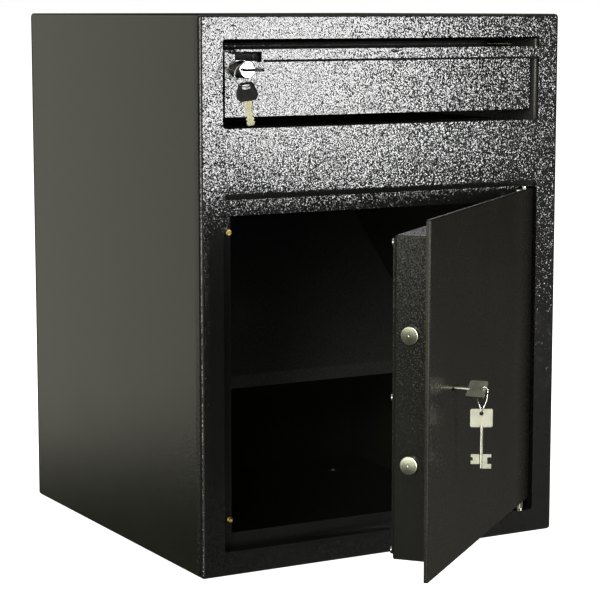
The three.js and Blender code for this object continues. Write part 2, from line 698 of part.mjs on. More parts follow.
function lockBox() {
  const shell = pressing({
    x: [BOX_LEFT, BOX_RIGHT],
    y: [BOX_FRONT, BOX_REAR],
    z: [BOX_BASE, BOX_TOP],
    corner: BOX_CORNER,
    upright: BOX_FOLD_RADIUS,
    level: BOX_FOLD_RADIUS,
    face: "rear",
  });
  const hollow = pressing({
    x: [BOX_LEFT + BOX_SHEET, BOX_RIGHT - BOX_SHEET],
    y: [BOX_FRONT - OVERRUN, BOX_REAR - BOX_SHEET],
    z: [BOX_BASE + BOX_SHEET, BOX_TOP - BOX_SHEET],
    corner: BOX_CORNER - BOX_SHEET,
    upright: BOX_FOLD_RADIUS - BOX_SHEET,
    level: BOX_FOLD_RADIUS - BOX_SHEET,
    face: "rear",
  });
  const rim = BOX_SHEET + BOX_RETURN;
  const window = rectangle(BOX_LEFT + rim, BOX_RIGHT - rim, BOX_BASE + rim, BOX_TOP - rim, BOX_CORNER);
  const boltHoles = BOLT_HEIGHTS.map((z) =>
    extrude("x", disc(BOLT_Y, z, BOLT_RADIUS + GAP), BOX_LEFT - OVERRUN, BOX_LEFT + OVERRUN),
  );
  return minus(shell, [
    hollow,
    extrude("y", window, BOX_REAR - OVERRUN, BOX_REAR + OVERRUN),
    ...boltHoles,
    ...screwHoles(BOX_REAR - OVERRUN, BOX_REAR + OVERRUN),
  ]);
}

const COVER_FRONT = BOX_REAR + GAP;
const COVER_REAR = COVER_FRONT + COVER_SHEET;

function boxCover() {
  const sheet = rectangle(
    BOX_LEFT + COVER_INSET,
    BOX_RIGHT - COVER_INSET,
    BOX_BASE + COVER_INSET,
    BOX_TOP - COVER_INSET,
    COVER_CORNER,
  );
  const holes = screwHoles(COVER_FRONT - OVERRUN, COVER_REAR + OVERRUN);
  return minus(extrude("y", sheet, COVER_FRONT, COVER_REAR), holes);
}

function coverScrew([x, z]) {
  const seat = COVER_REAR + GAP;
  const [acrossShare, heightShare] = DOME_SHOULDER_SHARES;
  return turned("y", x, z, [
    [0, seat - SCREW_LENGTH],
    [SCREW_SHANK, seat - SCREW_LENGTH],
    [SCREW_SHANK, seat],
    [SCREW_HEAD, seat],
    [SCREW_HEAD, seat + SCREW_DOME * DOME_RIM_SHARE],
    [SCREW_HEAD * acrossShare, seat + SCREW_DOME * heightShare],
    [0, seat + SCREW_DOME],
  ]);
}

// A hinge block ends in a knuckle round the pin, so that it clears the stop as the door swings
function hingeBlock(base) {
  const depth = 2 * KNUCKLE_RADIUS;
  const plan = outline([
    [PIN_X - HINGE_BLOCK_LENGTH, PIN_Y - depth / 2, PIN_RADIUS / 2],
    [PIN_X + KNUCKLE_RADIUS, PIN_Y - depth / 2, KNUCKLE_RADIUS],
    [PIN_X + KNUCKLE_RADIUS, PIN_Y + depth / 2, KNUCKLE_RADIUS],
    [PIN_X - HINGE_BLOCK_LENGTH, PIN_Y + depth / 2, PIN_RADIUS / 2],
  ]);
  const top = base + HINGE_BLOCK_HEIGHT;
  const bore = extrude("z", disc(PIN_X, PIN_Y, PIN_RADIUS + GAP), base - OVERRUN, top + OVERRUN);
  return extrude("z", plan, base, top).subtract(bore);
}

const UPPER_BLOCK_BASE = DOOR_TOP - HINGE_BLOCK_INSET - HINGE_BLOCK_HEIGHT;
const LOWER_BLOCK_BASE = DOOR_BASE + HINGE_BLOCK_INSET;

function upperPin() {
  const end = DOOR_MOUTH_TOP + STOP_SHEET + PIN_PAST_FRAME;
  return turned("z", PIN_X, PIN_Y, [
    [0, UPPER_BLOCK_BASE],
    [PIN_RADIUS, UPPER_BLOCK_BASE],
    [PIN_RADIUS, end - PIN_CHAMFER],
    [PIN_RADIUS - PIN_CHAMFER, end],
    [0, end],
  ]);
}

// The lower pin has a collar that carries the door on the frame
function lowerPin() {
  const end = DOOR_MOUTH_BASE - STOP_SHEET - PIN_PAST_FRAME;
  return turned("z", PIN_X, PIN_Y, [
    [0, end],
    [PIN_RADIUS - PIN_CHAMFER, end],
    [PIN_RADIUS, end + PIN_CHAMFER],
    [PIN_RADIUS, DOOR_MOUTH_BASE + GAP],
    [PIN_COLLAR, DOOR_MOUTH_BASE + GAP],
    [PIN_COLLAR, LOWER_BLOCK_BASE - GAP],
    [PIN_RADIUS, LOWER_BLOCK_BASE - GAP],
    [PIN_RADIUS, LOWER_BLOCK_BASE + HINGE_BLOCK_HEIGHT],
    [0, LOWER_BLOCK_BASE + HINGE_BLOCK_HEIGHT],
  ]);
}

piece(door, "door_plate", doorPlate(), "door");
piece(door, "lock_box", lockBox(), "body");
piece(door, "box_cover", boxCover(), "inside");
SCREW_PLACES.forEach((place, i) => piece(door, `cover_screw_${i + 1}`, coverScrew(place), "steel"));
piece(door, "hinge_block_upper", hingeBlock(UPPER_BLOCK_BASE), "zinc");
piece(door, "hinge_block_lower", hingeBlock(LOWER_BLOCK_BASE), "zinc");
piece(door, "hinge_pin_upper", upperPin(), "steel");
piece(door, "hinge_pin_lower", lowerPin(), "steel");

// Bolt work: two round bolts, riveted to one bar, slide in bushes in the side of the lock box

function boltBush(z) {
  const bore = rod("x", BOLT_Y, z, BOLT_RADIUS + GAP, BUSH_LEFT - OVERRUN, BUSH_LEFT + BUSH_LENGTH + OVERRUN);
  const radius = BOLT_RADIUS + GAP + BUSH_WALL;
  return rod("x", BOLT_Y, z, radius, BUSH_LEFT, BUSH_LEFT + BUSH_LENGTH).subtract(bore);
}

function bolt(z) {
  const tip = BOX_LEFT - BOLT_PROUD;
  const rivet = BAR_RIGHT + GAP;
  return turned("x", BOLT_Y, z, [
    [0, tip],
    [BOLT_RADIUS - BOLT_CHAMFER, tip],
    [BOLT_RADIUS, tip + BOLT_CHAMFER],
    [BOLT_RADIUS, BAR_LEFT - GAP],
    [BOLT_NECK, BAR_LEFT - GAP],
    [BOLT_NECK, rivet],
    [BOLT_RIVET, rivet],
    [BOLT_RIVET / 2, rivet + BOLT_RIVET_HEIGHT],
    [0, rivet + BOLT_RIVET_HEIGHT],
  ]);
}

// The slot in the bar, or in the case wall, that the forked bolt passes
function forkSlot(halfHeight, from, to) {
  const rear = FORK_FRONT + FORK_SHEET + GAP;
  const half = halfHeight + GAP;
  return block(from, to, FORK_FRONT - GAP, rear, KEY_Z - half, KEY_Z + half);
}

function boltBar() {
  const [high, low] = BOLT_HEIGHTS;
  const half = BAR_WIDTH / 2;
  const section = rectangle(BOLT_Y - half, BOLT_Y + half, low - BAR_END, high + BAR_END, BEND);
  const necks = BOLT_HEIGHTS.map((z) =>
    extrude("x", disc(BOLT_Y, z, BOLT_NECK + GAP), BAR_LEFT - OVERRUN, BAR_RIGHT + OVERRUN),
  );
  const slot = forkSlot(FORK_TAIL, BAR_LEFT - OVERRUN, BAR_RIGHT + OVERRUN);
  return minus(extrude("x", section, BAR_LEFT, BAR_RIGHT), [...necks, slot]);
}

// The lock's own bolt: two arms reach round the key, and the stem passes the case wall to the bar
function lockBolt() {
  const gullet = KEY_X - TALON_RADIUS - BOLT_RETRACT;
  const half = TALON_RADIUS + FORK_ARM;
  const stem = gullet - FORK_STEM;
  const arm = KEY_X + TALON_RADIUS;
  const tail = BAR_LEFT - FORK_TAIL_PAST;
  const shape = outline([
    [tail, KEY_Z - FORK_TAIL],
    [stem, KEY_Z - FORK_TAIL],
    [stem, KEY_Z - half, BEND],
    [arm, KEY_Z - half, BEND],
    [arm, KEY_Z - TALON_RADIUS, BEND],
    [gullet, KEY_Z - TALON_RADIUS, FORK_ARM / 2],
    [gullet, KEY_Z + TALON_RADIUS, FORK_ARM / 2],
    [arm, KEY_Z + TALON_RADIUS, BEND],
    [arm, KEY_Z + half, BEND],
    [stem, KEY_Z + half, BEND],
    [stem, KEY_Z + FORK_TAIL],
    [tail, KEY_Z + FORK_TAIL],
  ]);
  return extrude("y", shape, FORK_FRONT, FORK_FRONT + FORK_SHEET);
}

function lockCase() {
  const right = CASE_LEFT + CASE_WIDTH;
  const top = CASE_BASE + CASE_HEIGHT;
  const tray = extrude("y", rectangle(CASE_LEFT, right, CASE_BASE, top, CASE_SHEET), CASE_FRONT, CASE_REAR);
  const [insideLeft, insideRight] = [CASE_LEFT + CASE_SHEET, right - CASE_SHEET];
  const hollow = rectangle(insideLeft, insideRight, CASE_BASE + CASE_SHEET, top - CASE_SHEET, BEND);
  const window = forkSlot(TALON_RADIUS + FORK_ARM, CASE_LEFT - OVERRUN, CASE_LEFT + CASE_SHEET + GAP);
  const cut = minus(tray, [
    extrude("y", hollow, CASE_FRONT + CASE_SHEET, CASE_REAR + OVERRUN),
    window,
    keyhole(CASE_FRONT - OVERRUN, CASE_FRONT + CASE_SHEET + GAP),
  ]);
  const [postX, postZ] = [KEY_X + LEVER_POST_OUT, KEY_Z + LEVER_POST_UP];
  const post = rod("y", postX, postZ, LEVER_POST, CASE_FRONT + CASE_SHEET / 2, CASE_REAR);
  return cut.add(post);
}

function lockCaseCover() {
  const right = CASE_LEFT + CASE_WIDTH;
  const top = CASE_BASE + CASE_HEIGHT;
  const front = CASE_REAR + GAP;
  return extrude("y", rectangle(CASE_LEFT, right, CASE_BASE, top, CASE_SHEET), front, front + CASE_SHEET);
}

// A lever hangs on the post and goes round the key; each one is cut to its own belly height
function lever(i) {
  const front = LEVER_FRONT + i * LEVER_PITCH;
  const postX = KEY_X + LEVER_POST_OUT;
  const postZ = KEY_Z + LEVER_POST_UP;
  const outer = TALON_RADIUS + LEVER_RIM;
  const belly = outer - (i * LEVER_RIM) / (2 * LEVER_COUNT);
  const shape = outline([
    [KEY_X - outer, KEY_Z - belly, outer / 2],
    [KEY_X + outer, KEY_Z - belly, outer / 2],
    [postX + LEVER_POST + LEVER_RIM, postZ + LEVER_POST + LEVER_RIM, LEVER_RIM],
    [postX - LEVER_POST - LEVER_RIM, postZ + LEVER_POST + LEVER_RIM, LEVER_RIM],
    [KEY_X - outer, KEY_Z + outer, LEVER_RIM],
  ]);
  const rear = front + LEVER_SHEET;
  return minus(extrude("y", shape, front, rear), [
    extrude("y", disc(KEY_X, KEY_Z, TALON_RADIUS), front - OVERRUN, rear + OVERRUN),
    extrude("y", disc(postX, postZ, LEVER_POST + GAP), front - OVERRUN, rear + OVERRUN),
  ]);
}

["upper", "lower"].forEach((place, i) => {
  piece(door, `bolt_bush_${place}`, boltBush(BOLT_HEIGHTS[i]), "inside");
  piece(door, `bolt_${place}`, bolt(BOLT_HEIGHTS[i]), "steel");
});
piece(door, "bolt_bar", boltBar(), "zinc");
piece(door, "lock_bolt", lockBolt(), "steel");
piece(door, "lock_case", lockCase(), "zinc");
piece(door, "lock_case_cover", lockCaseCover(), "zinc");
for (let i = 0; i < LEVER_COUNT; i++) piece(door, `lever_${i + 1}`, lever(i), "brass");

// Door keys, drawn from the tip up, with the bow's width along X

function doubleBitKey() {
  const bow = outline([
    [-BOW_WIDTH / 2, BOW_BASE, KEY_SHAFT / 2],
    [BOW_WIDTH / 2, BOW_BASE, KEY_SHAFT / 2],
    [BOW_WIDTH / 2, KEY_LENGTH - BOW_CHAMFER],
    [BOW_WIDTH / 2 - BOW_CHAMFER, KEY_LENGTH],
    [-BOW_WIDTH / 2 + BOW_CHAMFER, KEY_LENGTH],
    [-BOW_WIDTH / 2, KEY_LENGTH - BOW_CHAMFER],
  ]);
  const notchTop = BIT_LENGTH - BIT_TOOTH;
  const stepMiddle = (BIT_STEP + notchTop) / 2;
  const bit = outline([
    [0, 0],
    [BIT_REACH, 0],
    [BIT_REACH, BIT_STEP],
    [BIT_REACH - BIT_NOTCH, BIT_STEP],
    [BIT_REACH - BIT_NOTCH, notchTop],
    [BIT_REACH, notchTop],
    [BIT_REACH, BIT_LENGTH],
    [-BIT_REACH, BIT_LENGTH],
    [-BIT_REACH, notchTop],
    [-BIT_REACH + BIT_NOTCH / 2, notchTop],
    [-BIT_REACH + BIT_NOTCH / 2, stepMiddle],
    [-BIT_REACH, stepMiddle],
    [-BIT_REACH, BIT_STEP],
    [0, BIT_STEP],
  ]);
  const blades = [bow, bit].map((shape) => extrude("z", shape, -KEY_SHEET / 2, KEY_SHEET / 2));
  const shaft = turned("y", 0, 0, [
    [0, 0],
    [KEY_SHAFT - KEY_NOSE, 0],
    [KEY_SHAFT, KEY_NOSE_LENGTH],
    [KEY_SHAFT, BOW_BASE + KEY_SHAFT],
    [0, BOW_BASE + KEY_SHAFT],
  ]);
  const hole = extrude("z", disc(0, BOW_HOLE_AT, BOW_HOLE), -KEY_SHEET, KEY_SHEET);
  return plus([...blades, shaft]).subtract(hole);
}

// A group whose X, Y and Z run along the given directions from a point
function placed(parent, name, across, along, from) {
  const group = new THREE.Group();
  group.name = name;
  const basis = new THREE.Matrix4().makeBasis(across, along, across.clone().cross(along));
  group.applyMatrix4(basis.setPosition(from));
  parent.add(group);
  return group;
}

const OUT = new THREE.Vector3(0, -1, 0);
const keyTurn = THREE.MathUtils.degToRad(KEY_REST_TURN);
const bowAcross = new THREE.Vector3(Math.cos(keyTurn), 0, Math.sin(keyTurn));
const keyTip = new THREE.Vector3(KEY_X, FRONT + KEY_BEHIND_FACE, KEY_Z);
piece(placed(door, "door_key_place", bowAcross, OUT, keyTip), "door_key", doubleBitKey(), "nickel");

// The wire loop: shares of its drop from the hole in the bow to the hole in the hanging key
const bowHole = keyTip.clone().addScaledVector(OUT, BOW_HOLE_AT);
const LOOP_FOOT_SHARES = [0, 0.017, -1];
const LOOP_ROUTE_SHARES = [
  [0.02, -0.02, -0.05],
  [-0.013, 0.018, 0.055],
  [-0.022, 0.105, 0.135],
  [-0.013, 0.215, 0.12],
  [0, 0.29, 0],
  [-0.01, 0.29, -0.174],
  [-0.06, 0.25, -0.48],
  [-0.122, 0.143, -0.76],
  [-0.11, 0.06, -0.945],
  LOOP_FOOT_SHARES,
  [0.11, -0.022, -0.945],
  [0.122, -0.104, -0.76],
  [0.06, -0.187, -0.48],
  [0.01, -0.165, -0.25],
  [0.018, -0.09, -0.13],
];

function alongRoute(shares) {
  const [side, out, up] = shares.map((share) => share * LOOP_DROP);
  return new THREE.Vector3(bowHole.x + side, bowHole.y - out, bowHole.z + up);
}

// The two ends of the wire stop just short of each other beside the bow
function keyLoop() {
  const points = LOOP_ROUTE_SHARES.map(alongRoute);
  const first = points[LOOP_END];
  const towards = first.clone().sub(points[LOOP_END - 1]).normalize();
  const last = first.clone().addScaledVector(towards, -2 * LOOP_WIRE - GAP);
  const route = [...points.slice(LOOP_END), ...points.slice(0, LOOP_END), last];
  const curve = new THREE.CatmullRomCurve3(route, false, "centripetal");
  const settings = { steps: LOOP_STEPS, extrudePath: curve, curveSegments: LOOP_ARC_STEPS };
  return solid(new THREE.ExtrudeGeometry(disc(0, 0, LOOP_WIRE), settings));
}

piece(door, "door_key_loop", keyLoop(), "steel");

// The second key hangs from the foot of the loop, its flat side across the wire
const spareTurn = THREE.MathUtils.degToRad(SPARE_KEY_TURN - REST_ANGLE);
const spareAcross = new THREE.Vector3(Math.cos(spareTurn), Math.sin(spareTurn), 0);
const wireInHole = BOW_HOLE - LOOP_WIRE - 2 * GAP;
const spareTip = alongRoute(LOOP_FOOT_SHARES).addScaledVector(UP, -BOW_HOLE_AT - wireInHole);
const spareKey = placed(door, "door_spare_place", spareAcross, UP, spareTip);
piece(spareKey, "door_spare_key", doubleBitKey(), "nickel");

// Deposit drawer: front, tray and inner runners move together

// The front is one sheet: a panel, a step forward and a pull strip, with a taller tab round the lock
function drawerFront() {
  const stripLeft = -MOUTH + STRIP_LEFT_INSET;
  const stripRight = MOUTH - STRIP_RIGHT_INSET;
  const section = (fold) =>
    foldedSheet(
      [
        [PANEL_FRONT, PANEL_BASE],
        [PANEL_FRONT, fold],
        [FRONT, fold],
        [FRONT, STRIP_TOP],
      ],
      DRAWER_SHEET,
      BEND / 2,
    );
  const tabTop = TAB_FOLD + DRAWER_SHEET;
  const web = block(TAB_RIGHT, TAB_RIGHT + DRAWER_SHEET, FRONT, PANEL_REAR, STRIP_FOLD, tabTop);
  const whole = plus([
    extrude("x", section(STRIP_FOLD), TAB_RIGHT, stripRight),
    extrude("x", section(TAB_FOLD), stripLeft, TAB_RIGHT + DRAWER_SHEET / 2),
    block(-PANEL_HALF_WIDTH, TAB_RIGHT + DRAWER_SHEET, PANEL_FRONT, PANEL_REAR, PANEL_BASE, tabTop),
    web,
  ]);
  const rear = PANEL_REAR + OVERRUN;
  const beside = block(PANEL_HALF_WIDTH, MOUTH + OVERRUN, FRONT + DRAWER_SHEET, rear, 0, SAFE_HEIGHT);
  const lockHole = extrude("y", disc(CAM_X, CAM_Z, CAM_BODY + GAP), PANEL_FRONT - OVERRUN, rear);
  return minus(whole, [beside, lockHole]);
}

// An open-ended trough; its left wall is cut away for the cam
function drawerTray() {
  const top = TRAY_BASE + TRAY_HEIGHT;
  const section = foldedSheet(
    [
      [TRAY_HALF_WIDTH, top],
      [TRAY_HALF_WIDTH, TRAY_BASE],
      [-TRAY_HALF_WIDTH, TRAY_BASE],
      [-TRAY_HALF_WIDTH, top],
    ],
    TRAY_SHEET,
  );
  const notchEnd = TRAY_FRONT + CAM_NOTCH_LENGTH;
  const notch = rectangle(TRAY_FRONT - OVERRUN, notchEnd, top - CAM_NOTCH_DEPTH, top + OVERRUN);
  return extrude("y", section, TRAY_FRONT, TRAY_REAR).subtract(
    extrude("x", notch, -TRAY_HALF_WIDTH - OVERRUN, -TRAY_HALF_WIDTH + OVERRUN),
  );
}

// A runner is two channels, the inner one sliding between the lips of the outer one
function outerRunner(side) {
  const back = HOUSING_INNER - GAP;
  const path = [
    [back - RUNNER_LIP, RUNNER_TOP],
    [back, RUNNER_TOP],
    [back, RUNNER_BASE],
    [back - RUNNER_LIP, RUNNER_BASE],
  ];
  return extrude("y", foldedSheet(forSide(side, path), RUNNER_SHEET), RUNNER_FRONT, TRAY_REAR);
}

function innerRunner(side) {
  const back = TRAY_HALF_WIDTH + GAP;
  const inset = RUNNER_SHEET + RUNNER_SLACK;
  const path = [
    [back + RUNNER_LIP, RUNNER_BASE + inset],
    [back, RUNNER_BASE + inset],
    [back, RUNNER_TOP - inset],
    [back + RUNNER_LIP, RUNNER_TOP - inset],
  ];
  return extrude("y", foldedSheet(forSide(side, path), RUNNER_SHEET), RUNNER_FRONT, TRAY_REAR);
}

// Two side walls, flanged outwards at both ends and joined by a short floor behind the mouth
function drawerHousing() {
  const walls = [-1, 1].map((side) => {
    const path = [
      [HOUSING_INNER + HOUSING_SHEET + HOUSING_FLANGE, HOUSING_FRONT],
      [HOUSING_INNER, HOUSING_FRONT],
      [HOUSING_INNER, HOUSING_REAR],
      [INNER_HALF_WIDTH, HOUSING_REAR],
    ];
    return extrude("z", foldedSheet(forSide(side, path), HOUSING_SHEET), HOUSING_BASE, HOUSING_TOP);
  });
  const reach = HOUSING_INNER + HOUSING_SHEET / 2;
  const floorEnd = HOUSING_FRONT + HOUSING_FLOOR;
  const floor = block(-reach, reach, HOUSING_FRONT, floorEnd, HOUSING_BASE, HOUSING_BASE + HOUSING_SHEET);
  const windowFront = CAM_PLATE_FRONT - (CAM_WINDOW_LENGTH - CAM_SHEET) / 2;
  const window = block(
    -HOUSING_INNER - OVERRUN,
    -HOUSING_INNER + OVERRUN,
    windowFront,
    windowFront + CAM_WINDOW_LENGTH,
    CAM_Z - CAM_WINDOW_HEIGHT / 2,
    CAM_Z + CAM_WINDOW_HEIGHT / 2,
  );
  const rodHole = rod("x", ROD_Y, ROD_Z, FLAP_ROD + GAP, -HALF_WIDTH, HALF_WIDTH);
  return minus(plus([...walls, floor]), [window, rodHole]);
}

function flapRod() {
  const half = HOUSING_INNER + 2 * HOUSING_SHEET;
  return rod("x", ROD_Y, ROD_Z, FLAP_ROD, -half, half);
}

function wiperFlap() {
  const radius = FLAP_ROD + GAP + FLAP_SHEET;
  const foot = TRAY_BASE + FLAP_FLOOR_GAP;
  const sleeve = extrude("x", disc(ROD_Y, ROD_Z, radius), -FLAP_HALF_WIDTH, FLAP_HALF_WIDTH);
  const sheet = rectangle(ROD_Y - FLAP_SHEET / 2, ROD_Y + FLAP_SHEET / 2, foot, ROD_Z);
  const plate = extrude("x", sheet, -FLAP_HALF_WIDTH, FLAP_HALF_WIDTH);
  const bore = extrude("x", disc(ROD_Y, ROD_Z, FLAP_ROD + GAP), -HALF_WIDTH, HALF_WIDTH);
  return sleeve.add(plate).subtract(bore);
}

const drawer = new THREE.Group();
drawer.name = "drawer";
safe.add(drawer);
piece(drawer, "drawer_front", drawerFront(), "door");
piece(drawer, "drawer_tray", drawerTray(), "inside");
piece(safe, "drawer_housing", drawerHousing(), "inside");
piece(safe, "runner_outer_left", outerRunner(-1), "zinc");
piece(safe, "runner_outer_right", outerRunner(1), "zinc");
piece(drawer, "runner_inner_left", innerRunner(-1), "zinc");
piece(drawer, "runner_inner_right", innerRunner(1), "zinc");
piece(safe, "flap_rod", flapRod(), "steel");
piece(safe, "wiper_flap", wiperFlap(), "inside");

// Cam lock in the drawer front

function camLockHousing() {
  const seat = PANEL_FRONT - GAP;
  const sleeve = turned("y", CAM_X, CAM_Z, [
    [0, CAM_FACE],
    [CAM_HEAD - CAM_HEAD_EDGE, CAM_FACE],
    [CAM_HEAD, CAM_FACE + CAM_HEAD_EDGE],
    [CAM_HEAD, seat],
    [CAM_BODY, seat],
    [CAM_BODY, CAM_BODY_REAR],
    [0, CAM_BODY_REAR],
  ]);
  return sleeve.subtract(rod("y", CAM_X, CAM_Z, CAM_BORE, CAM_FACE - OVERRUN, CAM_BODY_REAR + OVERRUN));
}

function camLockNut() {
  const corners = Array.from({ length: CAM_NUT_SIDES }, (_, i) => {
    const angle = (i * 2 * Math.PI) / CAM_NUT_SIDES;
    return [CAM_X + CAM_NUT * Math.cos(angle), CAM_Z + CAM_NUT * Math.sin(angle)];
  });
  const front = PANEL_REAR + GAP;
  const bore = rod("y", CAM_X, CAM_Z, CAM_BODY + GAP, front - OVERRUN, front + CAM_NUT_HEIGHT + OVERRUN);
  return extrude("y", outline(corners), front, front + CAM_NUT_HEIGHT).subtract(bore);
}

// The plug carries the key slot in front and a square tenon for the cam behind
function camPlug() {
  const barrel = rod("y", CAM_X, CAM_Z, CAM_PLUG, CAM_FACE + GAP, CAM_BODY_REAR);
  const square = rectangle(CAM_X - CAM_SQUARE, CAM_X + CAM_SQUARE, CAM_Z - CAM_SQUARE, CAM_Z + CAM_SQUARE);
  const tenon = extrude("y", square, CAM_BODY_REAR - CAM_SHEET, CAM_PLATE_REAR);
  const halfWidth = CAM_KEY_BLADE_WIDTH / 2 + GAP;
  const halfSheet = CAM_KEY_BLADE_SHEET / 2 + GAP;
  const slot = rectangle(CAM_X - halfWidth, CAM_X + halfWidth, CAM_Z - halfSheet, CAM_Z + halfSheet);
  const screwEnd = CAM_PLATE_REAR - CAM_SCREW_LENGTH;
  return minus(barrel.add(tenon), [
    extrude("y", slot, CAM_FACE - OVERRUN, CAM_KEY_TIP_Y + GAP),
    rod("y", CAM_X, CAM_Z, CAM_SCREW_SHANK + GAP, screwEnd, CAM_PLATE_REAR + OVERRUN),
  ]);
}

function camPlate() {
  const shape = outline([
    [CAM_X - CAM_HALF_WIDTH, CAM_Z - CAM_REACH, CAM_HALF_WIDTH / 2],
    [CAM_X + CAM_HALF_WIDTH, CAM_Z - CAM_REACH, CAM_HALF_WIDTH / 2],
    [CAM_X + CAM_HALF_WIDTH, CAM_Z + CAM_HALF_WIDTH, CAM_ROUND],
    [CAM_X - CAM_HALF_WIDTH, CAM_Z + CAM_HALF_WIDTH, CAM_ROUND],
  ]);
  const half = CAM_SQUARE + GAP;
  const square = rectangle(CAM_X - half, CAM_X + half, CAM_Z - half, CAM_Z + half);
  return extrude("y", shape, CAM_PLATE_FRONT, CAM_PLATE_REAR).subtract(
    extrude("y", square, CAM_PLATE_FRONT - OVERRUN, CAM_PLATE_REAR + OVERRUN),
  );
}

function camScrew() {
  const seat = CAM_PLATE_REAR + GAP;
  return turned("y", CAM_X, CAM_Z, [
    [0, seat - CAM_SCREW_LENGTH],
    [CAM_SCREW_SHANK, seat - CAM_SCREW_LENGTH],
    [CAM_SCREW_SHANK, seat],
    [CAM_SCREW_HEAD, seat],
    [CAM_SCREW_HEAD, seat + CAM_SCREW_HEIGHT / 2],
    [CAM_SCREW_HEAD / 2, seat + CAM_SCREW_HEIGHT],
    [0, seat + CAM_SCREW_HEIGHT],
  ]);
}

// Drawer keys, drawn from the tip up like the door keys

function camKeyBlade() {
  const half = CAM_KEY_BLADE_WIDTH / 2;
  const top = CAM_KEY_BLADE + CAM_KEY_TONGUE;
  const blade = outline([
    [-half + CAM_KEY_TIP, 0],
    [half - CAM_KEY_TIP, 0],
    [half, CAM_KEY_TIP],
    [half, top],
    [-half, top],
    [-half, CAM_KEY_TIP],
  ]);
  const cuts = CAM_KEY_CUT_SHARES.map((share, i) => {
    const depth = CAM_KEY_CUT * CAM_KEY_DEPTH_SHARES[i % CAM_KEY_DEPTH_SHARES.length];
    const cut = outline([
      [half - depth, share * CAM_KEY_BLADE],
      [half + depth, share * CAM_KEY_BLADE - 2 * depth],
      [half + depth, share * CAM_KEY_BLADE + 2 * depth],
    ]);
    return extrude("z", cut, -CAM_KEY_BLADE_SHEET, CAM_KEY_BLADE_SHEET);
  });
  return minus(extrude("z", blade, -CAM_KEY_BLADE_SHEET / 2, CAM_KEY_BLADE_SHEET / 2), cuts);
}

function camKeyHead() {
  const sheet = CAM_KEY_HEAD_SHEET / 2;
  const head = outline([
    [-CAM_KEY_SHOULDER / 2 + CAM_KEY_HEAD_ROUND, CAM_KEY_BLADE, CAM_KEY_HEAD_ROUND],
    [CAM_KEY_SHOULDER / 2 - CAM_KEY_HEAD_ROUND, CAM_KEY_BLADE, CAM_KEY_HEAD_ROUND],
    [CAM_KEY_SHOULDER / 2, CAM_KEY_BLADE + CAM_KEY_HEAD_HEIGHT / 3, CAM_KEY_HEAD_ROUND],
    [CAM_KEY_TOP / 2, CAM_KEY_LENGTH, CAM_KEY_HEAD_ROUND],
    [-CAM_KEY_TOP / 2, CAM_KEY_LENGTH, CAM_KEY_HEAD_ROUND],
    [-CAM_KEY_SHOULDER / 2, CAM_KEY_BLADE + CAM_KEY_HEAD_HEIGHT / 3, CAM_KEY_HEAD_ROUND],
  ]);
  const slot = rectangle(
    -CAM_KEY_SLOT_WIDTH / 2,
    CAM_KEY_SLOT_WIDTH / 2,
    CAM_KEY_SLOT_AT - CAM_KEY_SLOT_HEIGHT / 2,
    CAM_KEY_SLOT_AT + CAM_KEY_SLOT_HEIGHT / 2,
    CAM_KEY_SLOT_HEIGHT / 3,
  );
  const half = CAM_KEY_BLADE_WIDTH / 2 + GAP;
  const pocketSheet = CAM_KEY_BLADE_SHEET / 2 + GAP / 2;
  const pocketTop = CAM_KEY_BLADE + CAM_KEY_TONGUE + GAP;
  const pocket = rectangle(-half, half, CAM_KEY_BLADE - OVERRUN, pocketTop);
  return minus(extrude("z", head, -sheet, sheet), [
    extrude("z", slot, -sheet - OVERRUN, sheet + OVERRUN),
    extrude("z", pocket, -pocketSheet, pocketSheet),
  ]);
}

piece(drawer, "cam_lock_housing", camLockHousing(), "chrome");
piece(drawer, "cam_lock_nut", camLockNut(), "zinc");
piece(drawer, "cam_plug", camPlug(), "chrome");
piece(drawer, "cam_plate", camPlate(), "zinc");
piece(drawer, "cam_screw", camScrew(), "steel");

const RIGHT = new THREE.Vector3(1, 0, 0);
const camKeyTip = new THREE.Vector3(CAM_X, CAM_KEY_TIP_Y, CAM_Z);
const camKey = placed(drawer, "cam_key", RIGHT, OUT, camKeyTip);
piece(camKey, "cam_key_blade", camKeyBlade(), "nickel");
piece(camKey, "cam_key_head", camKeyHead(), "plastic");

// The split ring passes the slot in the key's head and hangs to the left of it
const ringTurn = THREE.MathUtils.degToRad(RING_YAW);
const ringAcross = new THREE.Vector3(-Math.cos(ringTurn), Math.sin(ringTurn), 0);
const wireInSlot = CAM_KEY_SLOT_HEIGHT / 2 - RING_WIRE - 2 * GAP;
const ringMiddle = new THREE.Vector3(CAM_X, CAM_KEY_SLOT_Y - wireInSlot, CAM_Z - RING_DROP);
ringMiddle.addScaledVector(ringAcross, RING_SIDE_SHIFT);

function splitRing() {
  return solid(new THREE.TorusGeometry(RING_RADIUS, RING_WIRE, RING_SIDES, 2 * LATHE_STEPS));
}

const ring = placed(drawer, "cam_key_ring_place", ringAcross, UP, ringMiddle);
piece(ring, "cam_key_ring", splitRing(), "steel");

const camSpareTurn = THREE.MathUtils.degToRad(-CAM_SPARE_YAW);
const lean = THREE.MathUtils.degToRad(CAM_SPARE_LEAN);
const flatAcross = new THREE.Vector3(Math.cos(camSpareTurn), Math.sin(camSpareTurn), 0);
const camSpareAcross = flatAcross.clone().multiplyScalar(Math.cos(lean)).addScaledVector(UP, Math.sin(lean));
const camSpareUp = UP.clone().multiplyScalar(Math.cos(lean)).addScaledVector(flatAcross, -Math.sin(lean));
const ringFoot = ringMiddle.clone().addScaledVector(UP, -RING_RADIUS);
const camSpareTip = ringFoot.addScaledVector(camSpareUp, -CAM_KEY_SLOT_AT);
const camSpare = placed(drawer, "cam_spare", camSpareAcross, camSpareUp, camSpareTip);
piece(camSpare, "cam_spare_blade", camKeyBlade(), "nickel");
piece(camSpare, "cam_spare_head", camKeyHead(), "plastic");

export default safe;
